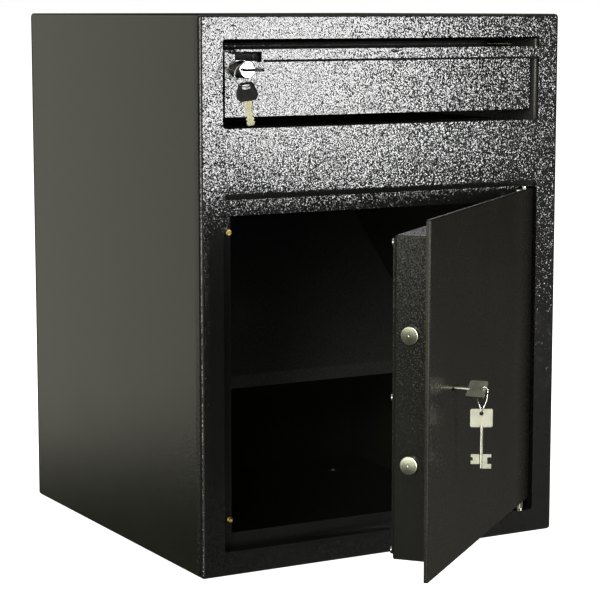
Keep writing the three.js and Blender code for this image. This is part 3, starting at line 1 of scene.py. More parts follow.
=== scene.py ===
"""A drop safe with a deposit drawer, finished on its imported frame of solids."""

import math

import bmesh
import bpy
from mathutils import Matrix, Vector


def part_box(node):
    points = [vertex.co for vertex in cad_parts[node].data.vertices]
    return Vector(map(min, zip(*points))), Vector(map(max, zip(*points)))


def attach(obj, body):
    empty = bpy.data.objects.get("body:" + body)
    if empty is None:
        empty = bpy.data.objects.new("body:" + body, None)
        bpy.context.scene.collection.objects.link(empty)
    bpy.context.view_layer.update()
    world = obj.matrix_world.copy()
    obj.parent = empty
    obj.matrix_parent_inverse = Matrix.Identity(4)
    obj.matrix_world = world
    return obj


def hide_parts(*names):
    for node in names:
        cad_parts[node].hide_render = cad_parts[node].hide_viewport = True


bl_info = {
    "name": "Drop Safe With Deposit Drawer",
    "version": (1, 0, 0),
    "blender": (4, 5, 0),
    "location": "View3D > Sidebar > Drop Safe",
    "description": "Models and paints a steel drop safe, its keys and locks",
    "category": "Add Mesh",
}

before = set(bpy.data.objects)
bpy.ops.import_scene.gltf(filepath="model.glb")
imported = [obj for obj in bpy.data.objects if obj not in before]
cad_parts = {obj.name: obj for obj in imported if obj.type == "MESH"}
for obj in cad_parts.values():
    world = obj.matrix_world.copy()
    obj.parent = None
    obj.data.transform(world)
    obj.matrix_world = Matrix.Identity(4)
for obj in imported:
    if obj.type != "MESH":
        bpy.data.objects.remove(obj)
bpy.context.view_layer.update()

# Sizes and places in millimetres, with the door shut
MM = 0.001
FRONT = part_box("front_frame")[0].y / MM
HALF_BODY, BODY_TOP = 225, 590
SKIRT_END = -213  # where the front's folded edge meets the body
HALF_MOUTH, DOOR_MOUTH, DRAWER_MOUTH = 198, (26.3, 398), (473, 564.5)
MOUTHS = (DOOR_MOUTH, DRAWER_MOUTH)
BOX_FRONT, BOX_BACK = -220.2, -181
BOLT_END, BOLT_NECK, BOLT_LINE, BOLT_HEIGHTS = -180.1, -152.9, -198.5, (280, 151)
BOLT_RADIUS, BOLT_HOLE = 9.5, 9.8
KEYHOLE_X, KEYHOLE_Z = -110.3, 218.6
CAM_LOCK_X, CAM_LOCK_Z, CAM_LOCK_FACE = -172, 533.5, -230.5
BLADE_CUTS = ((5, 1.1), (9.2, 1.7), (13.4, 0.9), (17.6, 1.5))  # place along the blade, depth
BUFFER_X, BUFFER_FACE, BUFFER_TOP, BUFFER_DROP = -189, -219.9, 365, -305.7
SCREW_COLUMNS, SCREW_ROWS, SCREW_SEAT = (-168.3, 164.7), (370, 216.25, 62.5), -178.9
NEAR = 0.1  # how far from a plane still counts as in it

# Metres: edges of machined and pressed parts, sheets, and corners that count as one
PRESSED, TURNED, POLISHED, MILLED, STAMPED = 0.0003, 0.00025, 0.0002, 0.00015, 0.00012
BODY_SHEET, BOX_SHEET = 0.003, 0.002
MERGE = 0.000005

# How far the door stands open at rest, and the pin it turns on
REST_TURN = math.radians(40)
PIN = Vector((186.7, -216.0, 0.0)) * MM
TO_PIN = Matrix.Translation(PIN)
DOOR_PLACE = TO_PIN @ Matrix.Rotation(REST_TURN, 4, "Z") @ Matrix.Translation(-PIN)


def key_place(across, along, tip):
    """The place of a key whose flat lies across and along, from its tip."""
    across, along = Vector(across).normalized(), Vector(along).normalized()
    turn = Matrix((across, along, across.cross(along))).transposed().to_4x4()
    return Matrix.Translation(Vector(tip) * MM) @ turn


# Places of the keys and the ring, as the door and the drawer stand at rest
DOOR_KEY_PLACE = key_place(
    (0.6197, 0.52, 0.5878), (0.6428, -0.766, 0), (-53.671, -391.587, KEYHOLE_Z)
)
DOOR_SPARE_PLACE = key_place((0.8721, -0.4894, 0), (0, 0, 1), (-17.2307, -435.0149, 138.35))
CAM_KEY_PLACE = key_place((1, 0, 0), (0, -1, 0), (CAM_LOCK_X, -209, CAM_LOCK_Z))
CAM_SPARE_PLACE = key_place(
    (0.6791, -0.7207, 0.1392), (-0.0954, 0.1013, 0.9903), (-178.5544, -250.1061, 477.3844)
)
SPLIT_RING_PLACE = key_place((-0.9472, 0.3206, 0), (0, 0, 1), (-182.3246, -246.1053, 528.5))
# The wire goes from the hole in one bow to the hole in the other and back
WIRE_ROUTE = (
    (-17.43, -434.07, 217.45), (-17.44, -435.22, 219.86), (-16.32, -436.89, 221.7),
    (-14.53, -438.7, 221.36), (-13.19, -439.82, 218.6), (-13.37, -439.97, 214.6),
    (-14.84, -440.01, 207.56), (-17.52, -439.04, 201.12), (-18.53, -437.4, 196.87),
    (-17.23, -435.01, 195.6), (-15.87, -432.7, 196.87), (-16.87, -431.08, 201.12),
    (-19.19, -430.53, 207.56), (-19.75, -431.66, 212.85), (-18.5, -432.86, 215.61),
)
WIRE_START, WIRE_LAP = 5, 1.4  # point at which the wire starts, millimetres by which it laps


def length(name, description, default):
    """A length that a user may change, in metres."""
    return bpy.props.FloatProperty(
        name=name, description=description, default=default, min=0, precision=5,
        unit="LENGTH", subtype="DISTANCE",
    )


def share(name, description, default):
    """A plain factor that a user may change."""
    return bpy.props.FloatProperty(
        name=name, description=description, default=default, min=0, max=1, subtype="FACTOR"
    )


def angle(name, description, degrees):
    """An angle that a user may change."""
    return bpy.props.FloatProperty(
        name=name, description=description, default=math.radians(degrees),
        unit="ROTATION", subtype="ANGLE",
    )


def place(name, description, default):
    """A point that a user may change, in metres."""
    return bpy.props.FloatVectorProperty(
        name=name, description=description, default=default, size=3,
        unit="LENGTH", subtype="TRANSLATION",
    )


def colour(name, description, default):
    """A linear colour that a user may change."""
    return bpy.props.FloatVectorProperty(
        name=name, description=description, default=default, size=3, min=0, max=1, subtype="COLOR"
    )


class SafeSizes(bpy.types.PropertyGroup):
    """Sizes of the finished pieces."""

    sheet_edge: length("Sheet Edge", "Rounding of a cut sheet edge", 0.0004)
    outer_fold: length("Outer Fold", "Radius of the front frame's outer fold", 0.0062)
    frame_corner: length("Frame Corner", "Radius of the front frame's four corners", 0.004)
    mouth_corner: length("Mouth Corner", "Radius of the corners of the two mouths", 0.003)
    mouth_fold: length("Mouth Fold", "Height of the inward fold above the door", 0.008)
    mouth_edge: length("Mouth Edge", "Rounding of the front edge of the two mouths", 0.0026)
    body_corner: length("Body Corner", "Radius of the body's long folds", 0.004)
    door_edge: length("Door Edge", "Rounding of the door's front edges", 0.0016)
    box_fold: length("Box Fold", "Radius of the lock box's folds", 0.0035)
    bolt_chamfer: length("Bolt Chamfer", "Chamfer at the end of a bolt", 0.0012)
    key_edge: length("Key Edge", "Rounding of a stamped key's edges", 0.00035)
    head_panel: length("Head Panel", "Rim round the sunk panel of a moulded key head", 0.0022)
    lock_rim: length("Lock Rim", "Rounding of the drawer lock's rim", 0.0015)
    loop_wire: length("Loop Wire", "Radius of the wire that joins the door keys", 0.00055)
    ring_wire: length("Ring Wire", "Radius of the split ring's wire", 0.0006)


class SafeFinishes(bpy.types.PropertyGroup):
    """Colours and grain of the finishes."""

    front_black: colour("Front Black", "Powder coat of the front", (0.005, 0.005, 0.005))
    side_black: colour("Side Black", "Powder coat of the body", (0.009, 0.009, 0.007))
    box_black: colour("Box Black", "Powder coat of the lock box", (0.007, 0.007, 0.0065))
    door_black: colour("Door Black", "Satin coat of the door", (0.0045, 0.0042, 0.0036))
    inner_black: colour("Inner Black", "Powder coat inside the safe", (0.03, 0.03, 0.03))
    nickel: colour("Nickel", "Nickel plate of the door keys", (0.62, 0.62, 0.555))
    # Painted shade: the drawer keys' blades get a yellower nickel, painted much darker than the
    # door keys' nickel.
    shaded_blade_nickel: colour(
        "Shaded Blade Nickel", "Darkened nickel plate of the drawer keys' blades", (0.3, 0.29, 0.22)
    )
    # Painted shade: the split ring's steel is painted darker than the wire's steel.
    shaded_ring_steel: colour("Shaded Ring Steel", "Dull steel of the split ring", (0.3, 0.3, 0.32))
    bolt_steel: colour("Bolt Steel", "Turned steel of the bolts", (0.62, 0.63, 0.53))
    zinc: colour("Zinc", "Zinc plate of the runners and lock parts", (0.55, 0.56, 0.55))
    chrome: colour("Chrome", "Chrome plate of the drawer lock", (0.86, 0.86, 0.88))
    brass: colour("Brass", "Brass of the buffers and levers", (0.62, 0.5, 0.22))
    black_plastic: colour(
        "Black Plastic", "Moulded heads of the drawer keys", (0.005, 0.005, 0.0055)
    )
    grain: length("Grain", "Size of the powder coat's pebbles", 0.0015)
    grain_height: length("Grain Height", "Height of the powder coat's pebbles", 0.000012)
    grain_lean: share("Grain Lean", "How far the pebbles' crowns lean", 0.46)


class SafeStage(bpy.types.PropertyGroup):
    """Camera, lights and floor."""

    camera: place("Camera", "Place of the camera", (-1.1784, -2.1333, 0.5960))
    yaw: angle("Yaw", "Turn of the camera from the back direction towards the right", 29.301)
    pitch: angle("Pitch", "Dip of the camera below the horizon", 7.968)
    lens: bpy.props.FloatProperty(
        name="Lens", description="Focal length", default=125.08, min=1, unit="CAMERA"
    )
    window: bpy.props.FloatProperty(
        name="Window", description="Power per square metre of a plain pane", default=32.5
    )
    window_place: place("Window Place", "Foot of the window's left edge", (0.78, -2.416, 0.2))
    top: bpy.props.FloatProperty(
        name="Top Light", description="Power of the overhead light", default=60, unit="POWER"
    )
    floor: colour("Floor", "Colour of the floor", (0.86, 0.86, 0.86))


def deselect():
    """Leaves edit mode and selects nothing."""
    if bpy.context.object and bpy.context.mode != "OBJECT":
        bpy.ops.object.mode_set(mode="OBJECT")
    bpy.ops.object.select_all(action="DESELECT")


def choose(*pieces):
    """Selects these pieces, the first of them active."""
    deselect()
    for piece in pieces:
        piece.select_set(True)
    bpy.context.view_layer.objects.active = pieces[0]


def block(name, low, high):
    """A box between two corners in millimetres."""
    deselect()
    low, high = Vector(low) * MM, Vector(high) * MM
    bpy.ops.mesh.primitive_cube_add(size=1, location=(low + high) / 2)
    piece = bpy.context.object
    piece.name, piece.scale = name, high - low
    bpy.ops.object.transform_apply(location=True, rotation=True, scale=True)
    return piece


def bar(name, start, end, radius, sides=48):
    """A round bar between two points, all in millimetres."""
    deselect()
    start, end = Vector(start) * MM, Vector(end) * MM
    along = end - start
    bpy.ops.mesh.primitive_cylinder_add(
        vertices=sides, radius=radius * MM, depth=along.length, location=(start + end) / 2,
        rotation=along.to_track_quat("Z", "Y").to_euler(),
    )
    piece = bpy.context.object
    piece.name = name
    bpy.ops.object.transform_apply(location=True, rotation=True, scale=True)
    return piece


def pick(piece, kind, test):
    """Opens the piece in edit mode and selects the faces or edges that pass a test.

    A test gets the middle in millimetres, and a face's normal or an edge's direction.
    """
    choose(piece)
    bpy.ops.object.mode_set(mode="EDIT")
    bpy.ops.mesh.select_mode(type=kind)
    bpy.ops.mesh.select_all(action="DESELECT")
    mesh = bmesh.from_edit_mesh(piece.data)
    for item in mesh.faces if kind == "FACE" else mesh.edges:
        if kind == "FACE":
            middle, way = item.calc_center_median(), item.normal
        else:
            ends = [v.co for v in item.verts]
            middle, way = (ends[0] + ends[1]) / 2, (ends[1] - ends[0]).normalized()
        item.select_set(bool(test(middle / MM, way)))
    mesh.select_flush_mode()
    bmesh.update_edit_mesh(piece.data)


def done():
    """Closes edit mode."""
    bpy.ops.object.mode_set(mode="OBJECT")


def parallel(axis):
    """A test for edges that run along an axis, or faces that look along it."""
    return lambda middle, way: abs(getattr(way, axis)) > 0.9


def edges_at(axis, at):
    """A test for edges that lie across an axis at a place along it, in millimetres."""
    return lambda middle, way: (
        abs(getattr(middle, axis) - at) < NEAR and abs(getattr(way, axis)) < 0.1
    )


def face_at(axis, at):
    """A test for faces that lie across an axis at a place along it, in millimetres."""
    return lambda middle, way: (
        abs(getattr(middle, axis) - at) < NEAR and abs(getattr(way, axis)) > 0.99
    )


def open_up(piece, test):
    """Takes away the faces that pass the test."""
    pick(piece, "FACE", test)
    bpy.ops.mesh.delete(type="FACE")
    done()


def round_edges(piece, radius, test, segments=4):
    """Rounds the edges that pass the test."""
    pick(piece, "EDGE", test)
    bpy.ops.mesh.bevel(
        offset=radius, offset_type="OFFSET", segments=segments, affect="EDGES", clamp_overlap=True
    )
    done()


def combine(piece, tools, operation="DIFFERENCE"):
    """Cuts the tools out of a piece, or joins them to it, and removes them."""
    for tool in tools:
        choose(piece)
        boolean = piece.modifiers.new("combine", "BOOLEAN")
        boolean.operation, boolean.solver, boolean.object = operation, "EXACT", tool
        bpy.ops.object.modifier_apply(modifier=boolean.name)
        bpy.data.objects.remove(tool)
    return piece


def wall(piece, thickness):
    """Gives an open shell a wall inside its faces."""
    choose(piece)
    solidify = piece.modifiers.new("wall", "SOLIDIFY")
    solidify.thickness, solidify.offset, solidify.use_even_offset = thickness, -1, True
    bpy.ops.object.modifier_apply(modifier=solidify.name)


def soften(piece, width, segments=2, sharp=35):
    """Rounds every sharp edge a little and smooths the faces between them."""
    choose(piece)
    edges = piece.modifiers.new("edges", "BEVEL")
    edges.width, edges.segments, edges.limit_method = width, segments, "ANGLE"
    edges.angle_limit, edges.miter_outer = math.radians(sharp), "MITER_ARC"
    bpy.ops.object.modifier_apply(modifier=edges.name)
    bpy.ops.object.shade_smooth_by_angle(angle=math.radians(50))
    normals = piece.modifiers.new("normals", "WEIGHTED_NORMAL")
    normals.keep_sharp = True
    bpy.ops.object.modifier_apply(modifier=normals.name)
    return piece


def put(piece, matrix):
    """Moves a piece modelled about the origin to its place, kept in its mesh."""
    choose(piece)
    piece.matrix_world = matrix
    bpy.ops.object.transform_apply(location=True, rotation=True, scale=True)
    return piece


def copy(piece, name):
    """A copy of a piece with a mesh of its own."""
    choose(piece)
    bpy.ops.object.duplicate(linked=False)
    twin = bpy.context.object
    twin.name = name
    return twin


def fit(piece, material, body, *nodes):
    """Paints a finished piece, fixes it to its body and lets it stand for its nodes."""
    piece.data.materials.clear()
    piece.data.materials.append(bpy.data.materials[material])
    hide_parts(*nodes)
    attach(piece, body)


def wire(name, points, radius, matrix=None):
    """A round wire through points in millimetres, as a mesh."""
    deselect()
    curve = bpy.data.curves.new(name, "CURVE")
    curve.dimensions, curve.bevel_depth, curve.use_fill_caps = "3D", radius, True
    curve.bevel_resolution, curve.resolution_u = 4, 8
    line = curve.splines.new("NURBS")
    line.points.add(len(points) - 1)
    for spot, point in zip(line.points, points):
        spot.co = (*(Vector(point) * MM), 1)
    line.order_u, line.use_endpoint_u = 4, True
    piece = bpy.data.objects.new(name, curve)
    bpy.context.scene.collection.objects.link(piece)
    choose(piece)
    bpy.ops.object.convert(target="MESH")
    bpy.ops.object.shade_smooth()
    if matrix:
        put(piece, matrix)
    return piece


class Nodes:
    """A node tree under construction."""

    def __init__(self, tree):
        self.tree = tree

    def feed(self, socket, value):
        """Links a socket to another one, or sets its value."""
        if isinstance(value, bpy.types.NodeSocket):
            self.tree.links.new(value, socket)
        else:
            socket.default_value = value

    def add(self, kind, settings=None, **inputs):
        """Adds a node; an input's name has an underscore for each space."""
        node = self.tree.nodes.new(kind)
        for key, value in (settings or {}).items():
            setattr(node, key, value)
        for key, value in inputs.items():
            self.feed(node.inputs[key.replace("_", " ")], value)
        return node

    def math(self, operation, a, b):
        """A sum, difference or product of two values."""
        node = self.add("ShaderNodeMath", {"operation": operation})
        for socket, value in zip(node.inputs, (a, b)):
            self.feed(socket, value)
        return node.outputs["Value"]


class Finish(Nodes):
    """A node material under construction, read in object coordinates."""

    def __init__(self, name, metallic=0.0, specular=0.5):
        self.material = bpy.data.materials.new(name)
        self.material.use_nodes = True
        super().__init__(self.material.node_tree)
        self.shader = self.tree.nodes["Principled BSDF"]
        self.shader.inputs["Metallic"].default_value = metallic
        self.shader.inputs["Specular IOR Level"].default_value = specular
        self.place = self.add("ShaderNodeTexCoord").outputs["Object"]

    def stretched(self, scale):
        """Object coordinates scaled along each axis."""
        return self.add("ShaderNodeMapping", Vector=self.place, Scale=scale).outputs["Vector"]

    def noise(self, size, detail=2.0, roughness=0.5, vector=None):
        """Smooth noise with waves of about this size in metres."""
        return self.add(
            "ShaderNodeTexNoise", Vector=vector or self.place, Scale=1 / size,
            Detail=detail, Roughness=roughness,
        ).outputs["Fac"]

    def pebbles(self, size):
        """Distance from the middle of the nearest of many rounded cells."""
        settings = {"feature": "SMOOTH_F1", "distance": "EUCLIDEAN"}
        return self.add(
            "ShaderNodeTexVoronoi", settings, Vector=self.place, Scale=1 / size, Smoothness=0.7
        ).outputs["Distance"]

    def spread(self, value, low, high, start=0.3, end=0.7):
        """Maps a value from start and end to low and high."""
        return self.add(
            "ShaderNodeMapRange", Value=value, From_Min=start, From_Max=end, To_Min=low, To_Max=high
        ).outputs["Result"]

    def vector(self, operation, *values):
        """A vector worked out from one or two others."""
        node = self.add("ShaderNodeVectorMath", {"operation": operation})
        for socket, value in zip(node.inputs, values):
            self.feed(socket, value)
        return node.outputs["Vector"]

    def blend(self, factor, first, second):
        """Mixes two colours, each of them a socket or three numbers."""
        node = self.add("ShaderNodeMix", {"data_type": "RGBA"}, Factor=factor)
        for key, value in (("A", first), ("B", second)):
            linked = isinstance(value, bpy.types.NodeSocket)
            self.feed(node.inputs[key], value if linked else (*value, 1))
        return node.outputs["Result"]

    def leaning(self, size, lean):
        """The surface normal, leant every way by a fine noise as far as the lean says."""
        waves = self.add("ShaderNodeTexNoise", Vector=self.place, Scale=1 / size, Detail=1.0)
        centred = self.vector("SUBTRACT", waves.outputs["Color"], (0.5, 0.5, 0.5))
        scale = self.add("ShaderNodeVectorMath", {"operation": "SCALE"}, Vector=centred, Scale=lean)
        normal = self.add("ShaderNodeNewGeometry").outputs["Normal"]
        return self.vector("NORMALIZE", self.vector("ADD", normal, scale.outputs["Vector"]))

    def bump(self, value, height, below=None):
        """The normal of a surface that the value raises, over the normal below."""
        node = self.add("ShaderNodeBump", Strength=1.0, Distance=height, Height=value)
        if below:
            self.feed(node.inputs["Normal"], below)
        return node.outputs["Normal"]

    def close(self, tint, roughness, normal):
        """Ends the material with what its shader reads."""
        for name, value in (("Base Color", tint), ("Roughness", roughness), ("Normal", normal)):
            self.feed(self.shader.inputs[name], value)
        return self.material


# The powder coat's marks against its pebbles, its valleys' lean against its crowns', and the
# size of its clouds in metres
FACET_SIZE, FINE_SIZE, SWELL_SIZE, VALLEY_LEAN, CLOUD_SIZE = 0.88, 0.42, 2.6, 1.15, 0.11


def lighter(tint, factor):
    """A colour scaled by a factor."""
    return tuple(min(1.0, part * factor) for part in tint)


def powder_coat(name, tint, height, lean, roughness, grain):
    """Black powder coat: fine pebbles with smooth crowns and slightly steeper valleys, the crowns
    painted lighter and the valleys darker as painted light and shade.
    """
    finish = Finish(name)
    stones = finish.pebbles(grain)
    steep = finish.spread(stones, lean, lean * VALLEY_LEAN, 0.36, 0.62)
    facets = finish.leaning(grain * FACET_SIZE, steep)
    fine = finish.noise(grain * FINE_SIZE)
    broad = finish.noise(CLOUD_SIZE, detail=3.0)
    swell = finish.noise(grain * SWELL_SIZE, detail=1.0)
    hills = finish.math("SUBTRACT", finish.math("MULTIPLY", fine, 0.55), stones)
    hills = finish.math("ADD", hills, finish.math("MULTIPLY", swell, 0.6))
    # Painted light and shade: the pebbles' crowns are painted lighter and the valleys between them
    # darker.
    crowns = finish.spread(stones, 1.0, 0.0, 0.1, 0.6)
    crown_light_valley_shade = finish.blend(crowns, lighter(tint, 0.8), lighter(tint, 1.6))
    body = finish.blend(finish.spread(broad, 0.0, 0.5), crown_light_valley_shade, lighter(tint, 1.25))
    dull = finish.spread(fine, roughness - 0.04, roughness + 0.05)
    dull = finish.math("ADD", finish.spread(broad, -0.02, 0.02), dull)
    return finish.close(body, dull, finish.bump(hills, height, facets))


def satin_coat(name, tint, roughness):
    """Smooth, slightly warm satin powder coat with a faint orange peel."""
    finish = Finish(name)
    finish.shader.inputs["Specular Tint"].default_value = (1.0, 0.93, 0.88, 1)
    peel = finish.noise(size=0.0032)
    broad = finish.noise(size=0.09, detail=3.0)
    body = finish.blend(finish.spread(broad, 0.0, 1.0), lighter(tint, 0.88), lighter(tint, 1.15))
    dull = finish.spread(peel, roughness - 0.02, roughness + 0.03)
    dull = finish.math("ADD", finish.spread(broad, -0.025, 0.025), dull)
    return finish.close(body, dull, finish.bump(peel, height=0.00003))


def plated(name, tint, roughness, grain=(1, 1, 1)):
    """Bright plated metal with fine marks along its grain and cloudy tarnish."""
    finish = Finish(name, metallic=1.0)
    marks = finish.noise(0.0007, detail=3.0, roughness=0.6, vector=finish.stretched(grain))
    clouds = finish.noise(size=0.012, detail=3.0)
    body = finish.blend(finish.spread(clouds, 0.0, 1.0), lighter(tint, 0.9), lighter(tint, 1.08))
    body = finish.blend(finish.spread(marks, 0.25, 0.0, 0.25, 0.5), body, lighter(tint, 0.55))
    dull = finish.spread(marks, roughness + 0.08, roughness - 0.04)
    dull = finish.math("ADD", finish.spread(clouds, -0.03, 0.04), dull)
    return finish.close(body, dull, finish.bump(marks, height=0.00001))


def moulded(name, tint, roughness):
    """Moulded black plastic with an eroded grain."""
    finish = Finish(name, specular=0.07)
    grain = finish.noise(size=0.0005)
    wear = finish.noise(size=0.006, detail=3.0)
    body = finish.blend(finish.spread(wear, 0.0, 1.0), tint, lighter(tint, 1.9))
    dull = finish.spread(grain, roughness - 0.03, roughness + 0.05)
    dull = finish.math("ADD", finish.spread(wear, -0.05, 0.06), dull)
    return finish.close(body, dull, finish.bump(grain, height=0.00002))


# The camera's sensor in millimetres, its clip distances, and the floor's size and own glow
SENSOR, CLIP, FLOOR_SIZE, FLOOR_GLOW = 36, (0.05, 500), 400, 0.85
# The overhead light in metres, and the tint of the light from all round
TOP_PLACE, TOP_AIM, TOP_SIZE = (-0.5, -0.4, 3.2), (0, 0, 0.3), (2.6, 2.2)
STUDIO_TINT = (1.0, 0.99, 0.84, 1)
# The window: width and brightness of its panes from the left, then foot, height and brightness
# of its rows
WINDOW_PANES = ((0.15, 1.9), (0.12, 3.4), (0.13, 1.9), (0.12, 3.4), (0.08, 1.6))
WINDOW_ROWS = ((0.0, 0.33, 1.15), (0.33, 1.07, 0.9))
# Light from all round, by its direction: x is right, y back, z up. Each light is the product of
# its ramps, and a ramp goes from its first number to its second while the axis goes from its
# third to its fourth.
STUDIO_LIGHTS = {
    "wall behind on the left": (
        ("x", 0.6, 0.0, -0.35, 0.2), ("x", 0.0, 1.0, -0.75, -0.4), ("y", 0.0, 1.0, 0.1, 0.4),
        ("edge", 0.0, 1.0, -0.154, -0.124),
    ),
    "dim left": (("x", 0.1, 0.0, -0.6, -0.3), ("y", 1.0, 0.0, 0.0, 0.3)),
    "panel on the left": (
        ("x", 2.6, 0.0, -0.6, -0.2), ("z", 0.0, 1.0, -0.145, 0.005), ("z", 1.0, 0.0, 0.2, 0.5),
        ("y", 0.0, 1.0, -0.75, -0.5), ("y", 1.0, 0.0, -0.22, -0.05),
    ),
    "lamp on the left": (
        ("x", 11.0, 0.0, -0.66, -0.54), ("y", 1.0, 0.0, -0.6, -0.5), ("z", 0.06, 1.0, -0.2, -0.04),
    ),
    "ceiling": (("z", 0.0, 0.5, 0.6, 0.9),),
    "front": (
        ("y", 0.8, 0.0, -0.86, -0.6), ("x", 1.0, 0.0, -0.1, 0.15), ("z", 0.0, 1.0, -0.5, -0.3),
    ),
    "right": (
        ("y", 0.22, 0.0, 0.32, 0.45), ("x", 0.0, 1.0, 0.3, 0.7), ("z", 1.0, 0.3, -0.22, -0.04),
    ),
}
WALL_SLANT = 0.08  # "edge" is z plus this share of y, so the wall's foot slopes

# The finish of each solid, and the solids whose edges are eased
RUNNERS = (
    "runner_outer_left", "runner_outer_right", "runner_inner_left", "runner_inner_right",
)
NODE_FINISHES = {
    "Front Coat": ("front_frame", "drawer_front", "door_stop_frame"),
    "Side Coat": ("body_shell", "back_panel"),
    "Box Coat": ("lock_box", "box_cover"),
    "Door Coat": ("door_plate",),
    "Inner Coat": (
        "chute_baffle", "drawer_housing", "drawer_tray", "wiper_flap",
        "bolt_bush_upper", "bolt_bush_lower",
    ),
    "Zinc Plate": (
        "hinge_block_upper", "hinge_block_lower", "bolt_bar", "lock_case", "lock_case_cover",
        "lock_bolt", "cam_lock_nut", "cam_plate", *RUNNERS,
    ),
    "Turned Steel": (
        "hinge_pin_upper", "hinge_pin_lower", "bolt_upper", "bolt_lower", "flap_rod", "cam_screw",
    ),
    "Wire Steel": ("door_key_loop", *(f"cover_screw_{i}" for i in range(1, 7))),
    "Shaded Ring Steel": ("cam_key_ring",),
    "Key Nickel": ("door_key", "door_spare_key"),
    "Shaded Blade Nickel": ("cam_key_blade", "cam_spare_blade"),
    "Lock Chrome": ("cam_lock_housing", "cam_plug"),
    "Brass": ("door_buffer_upper", "door_buffer_lower", "lever_1", "lever_2", "lever_3"),
    "Head Plastic": ("cam_key_head", "cam_spare_head"),
}
EASED_NODES = (
    "door_stop_frame", "back_panel", "box_cover", "chute_baffle", "drawer_housing", "drawer_tray",
    "lock_case", *RUNNERS,
)


class SAFE_OT_stage(bpy.types.Operator):
    """Set up the camera, the pale floor and the soft lights"""

    bl_idname = "safe.stage"
    bl_label = "Stage"

    def execute(self, context):
        stage = context.scene.safe_stage
        deselect()
        level = math.cos(stage.pitch)
        ahead = Vector((
            math.sin(stage.yaw) * level, math.cos(stage.yaw) * level, -math.sin(stage.pitch)
        ))
        turn = ahead.to_track_quat("-Z", "Y").to_euler()
        bpy.ops.object.camera_add(location=stage.camera, rotation=turn)
        camera = context.object
        camera.name, camera.data.lens, camera.data.sensor_width = "Camera", stage.lens, SENSOR
        camera.data.clip_start, camera.data.clip_end = CLIP
        context.scene.camera = camera

        left, front, foot = stage.window_place
        for width, pane in WINDOW_PANES:
            for rise, height, row in WINDOW_ROWS:
                spot = Vector((left + width / 2, front, foot + rise + height / 2))
                power = stage.window * pane * row * width * height
                self.lamp("Window Pane", spot, spot + Vector((0, 1, 0)), power, width, height)
            left += width
        overhead = self.lamp("Top Light", TOP_PLACE, TOP_AIM, stage.top, *TOP_SIZE)
        overhead.visible_glossy = False

        deselect()
        bpy.ops.mesh.primitive_plane_add(size=FLOOR_SIZE, location=(0, 0, 0))
        floor = context.object
        floor.name = "Floor"
        paper = Finish("Floor Paper", specular=0.0)
        speck = paper.noise(size=0.004)
        shades = lighter(stage.floor, 0.985), tuple(stage.floor)
        tint = paper.blend(paper.spread(speck, 0.0, 1.0), *shades)
        paper.close(tint, paper.spread(speck, 0.85, 0.95), paper.bump(speck, height=0.00001))
        paper.shader.inputs["Emission Color"].default_value = (1, 1, 1, 1)
        paper.shader.inputs["Emission Strength"].default_value = FLOOR_GLOW
        floor.data.materials.append(paper.material)
        floor.visible_glossy = False
        self.surroundings(context)
        context.scene.view_settings.view_transform = "Standard"
        return {"FINISHED"}

    def lamp(self, name, spot, target, power, width, height):
        """Adds a soft rectangular light aimed at a point."""
        deselect()
        aim = (Vector(target) - Vector(spot)).to_track_quat("-Z", "Y").to_euler()
        bpy.ops.object.light_add(type="AREA", location=spot, rotation=aim)
        lamp = bpy.context.object
        lamp.name, lamp.data.energy, lamp.data.shape = name, power, "RECTANGLE"
        lamp.data.size, lamp.data.size_y = width, height
        return lamp

    def surroundings(self, context):
        """Makes a white backdrop, and a studio that only lights and reflections see."""
        world = bpy.data.worlds.new("Studio")
        context.scene.world = world
        world.use_nodes = True
        world.node_tree.nodes.clear()
        sky = Nodes(world.node_tree)
        direction = sky.add("ShaderNodeTexCoord").outputs["Generated"]
        split = sky.add("ShaderNodeSeparateXYZ", Vector=direction)
        axes = {name: split.outputs[name.upper()] for name in "xyz"}
        axes["edge"] = sky.math("ADD", axes["z"], sky.math("MULTIPLY", axes["y"], WALL_SLANT))
        total = 0.0
        for ramps in STUDIO_LIGHTS.values():
            light = 1.0
            for axis, low, high, start, end in ramps:
                ramp = sky.add(
                    "ShaderNodeMapRange", {"interpolation_type": "SMOOTHSTEP"}, Value=axes[axis],
                    To_Min=low, To_Max=high, From_Min=start, From_Max=end,
                )
                light = sky.math("MULTIPLY", light, ramp.outputs["Result"])
            total = sky.math("ADD", total, light)
        studio = sky.add("ShaderNodeBackground", Color=STUDIO_TINT, Strength=total)
        white = sky.add("ShaderNodeBackground", Color=(1, 1, 1, 1), Strength=1.0)
        seen = sky.add("ShaderNodeLightPath").outputs["Is Camera Ray"]
        mix = sky.add("ShaderNodeMixShader", Fac=seen)
        sky.feed(mix.inputs[1], studio.outputs[0])
        sky.feed(mix.inputs[2], white.outputs[0])
        sky.add("ShaderNodeOutputWorld", Surface=mix.outputs[0])


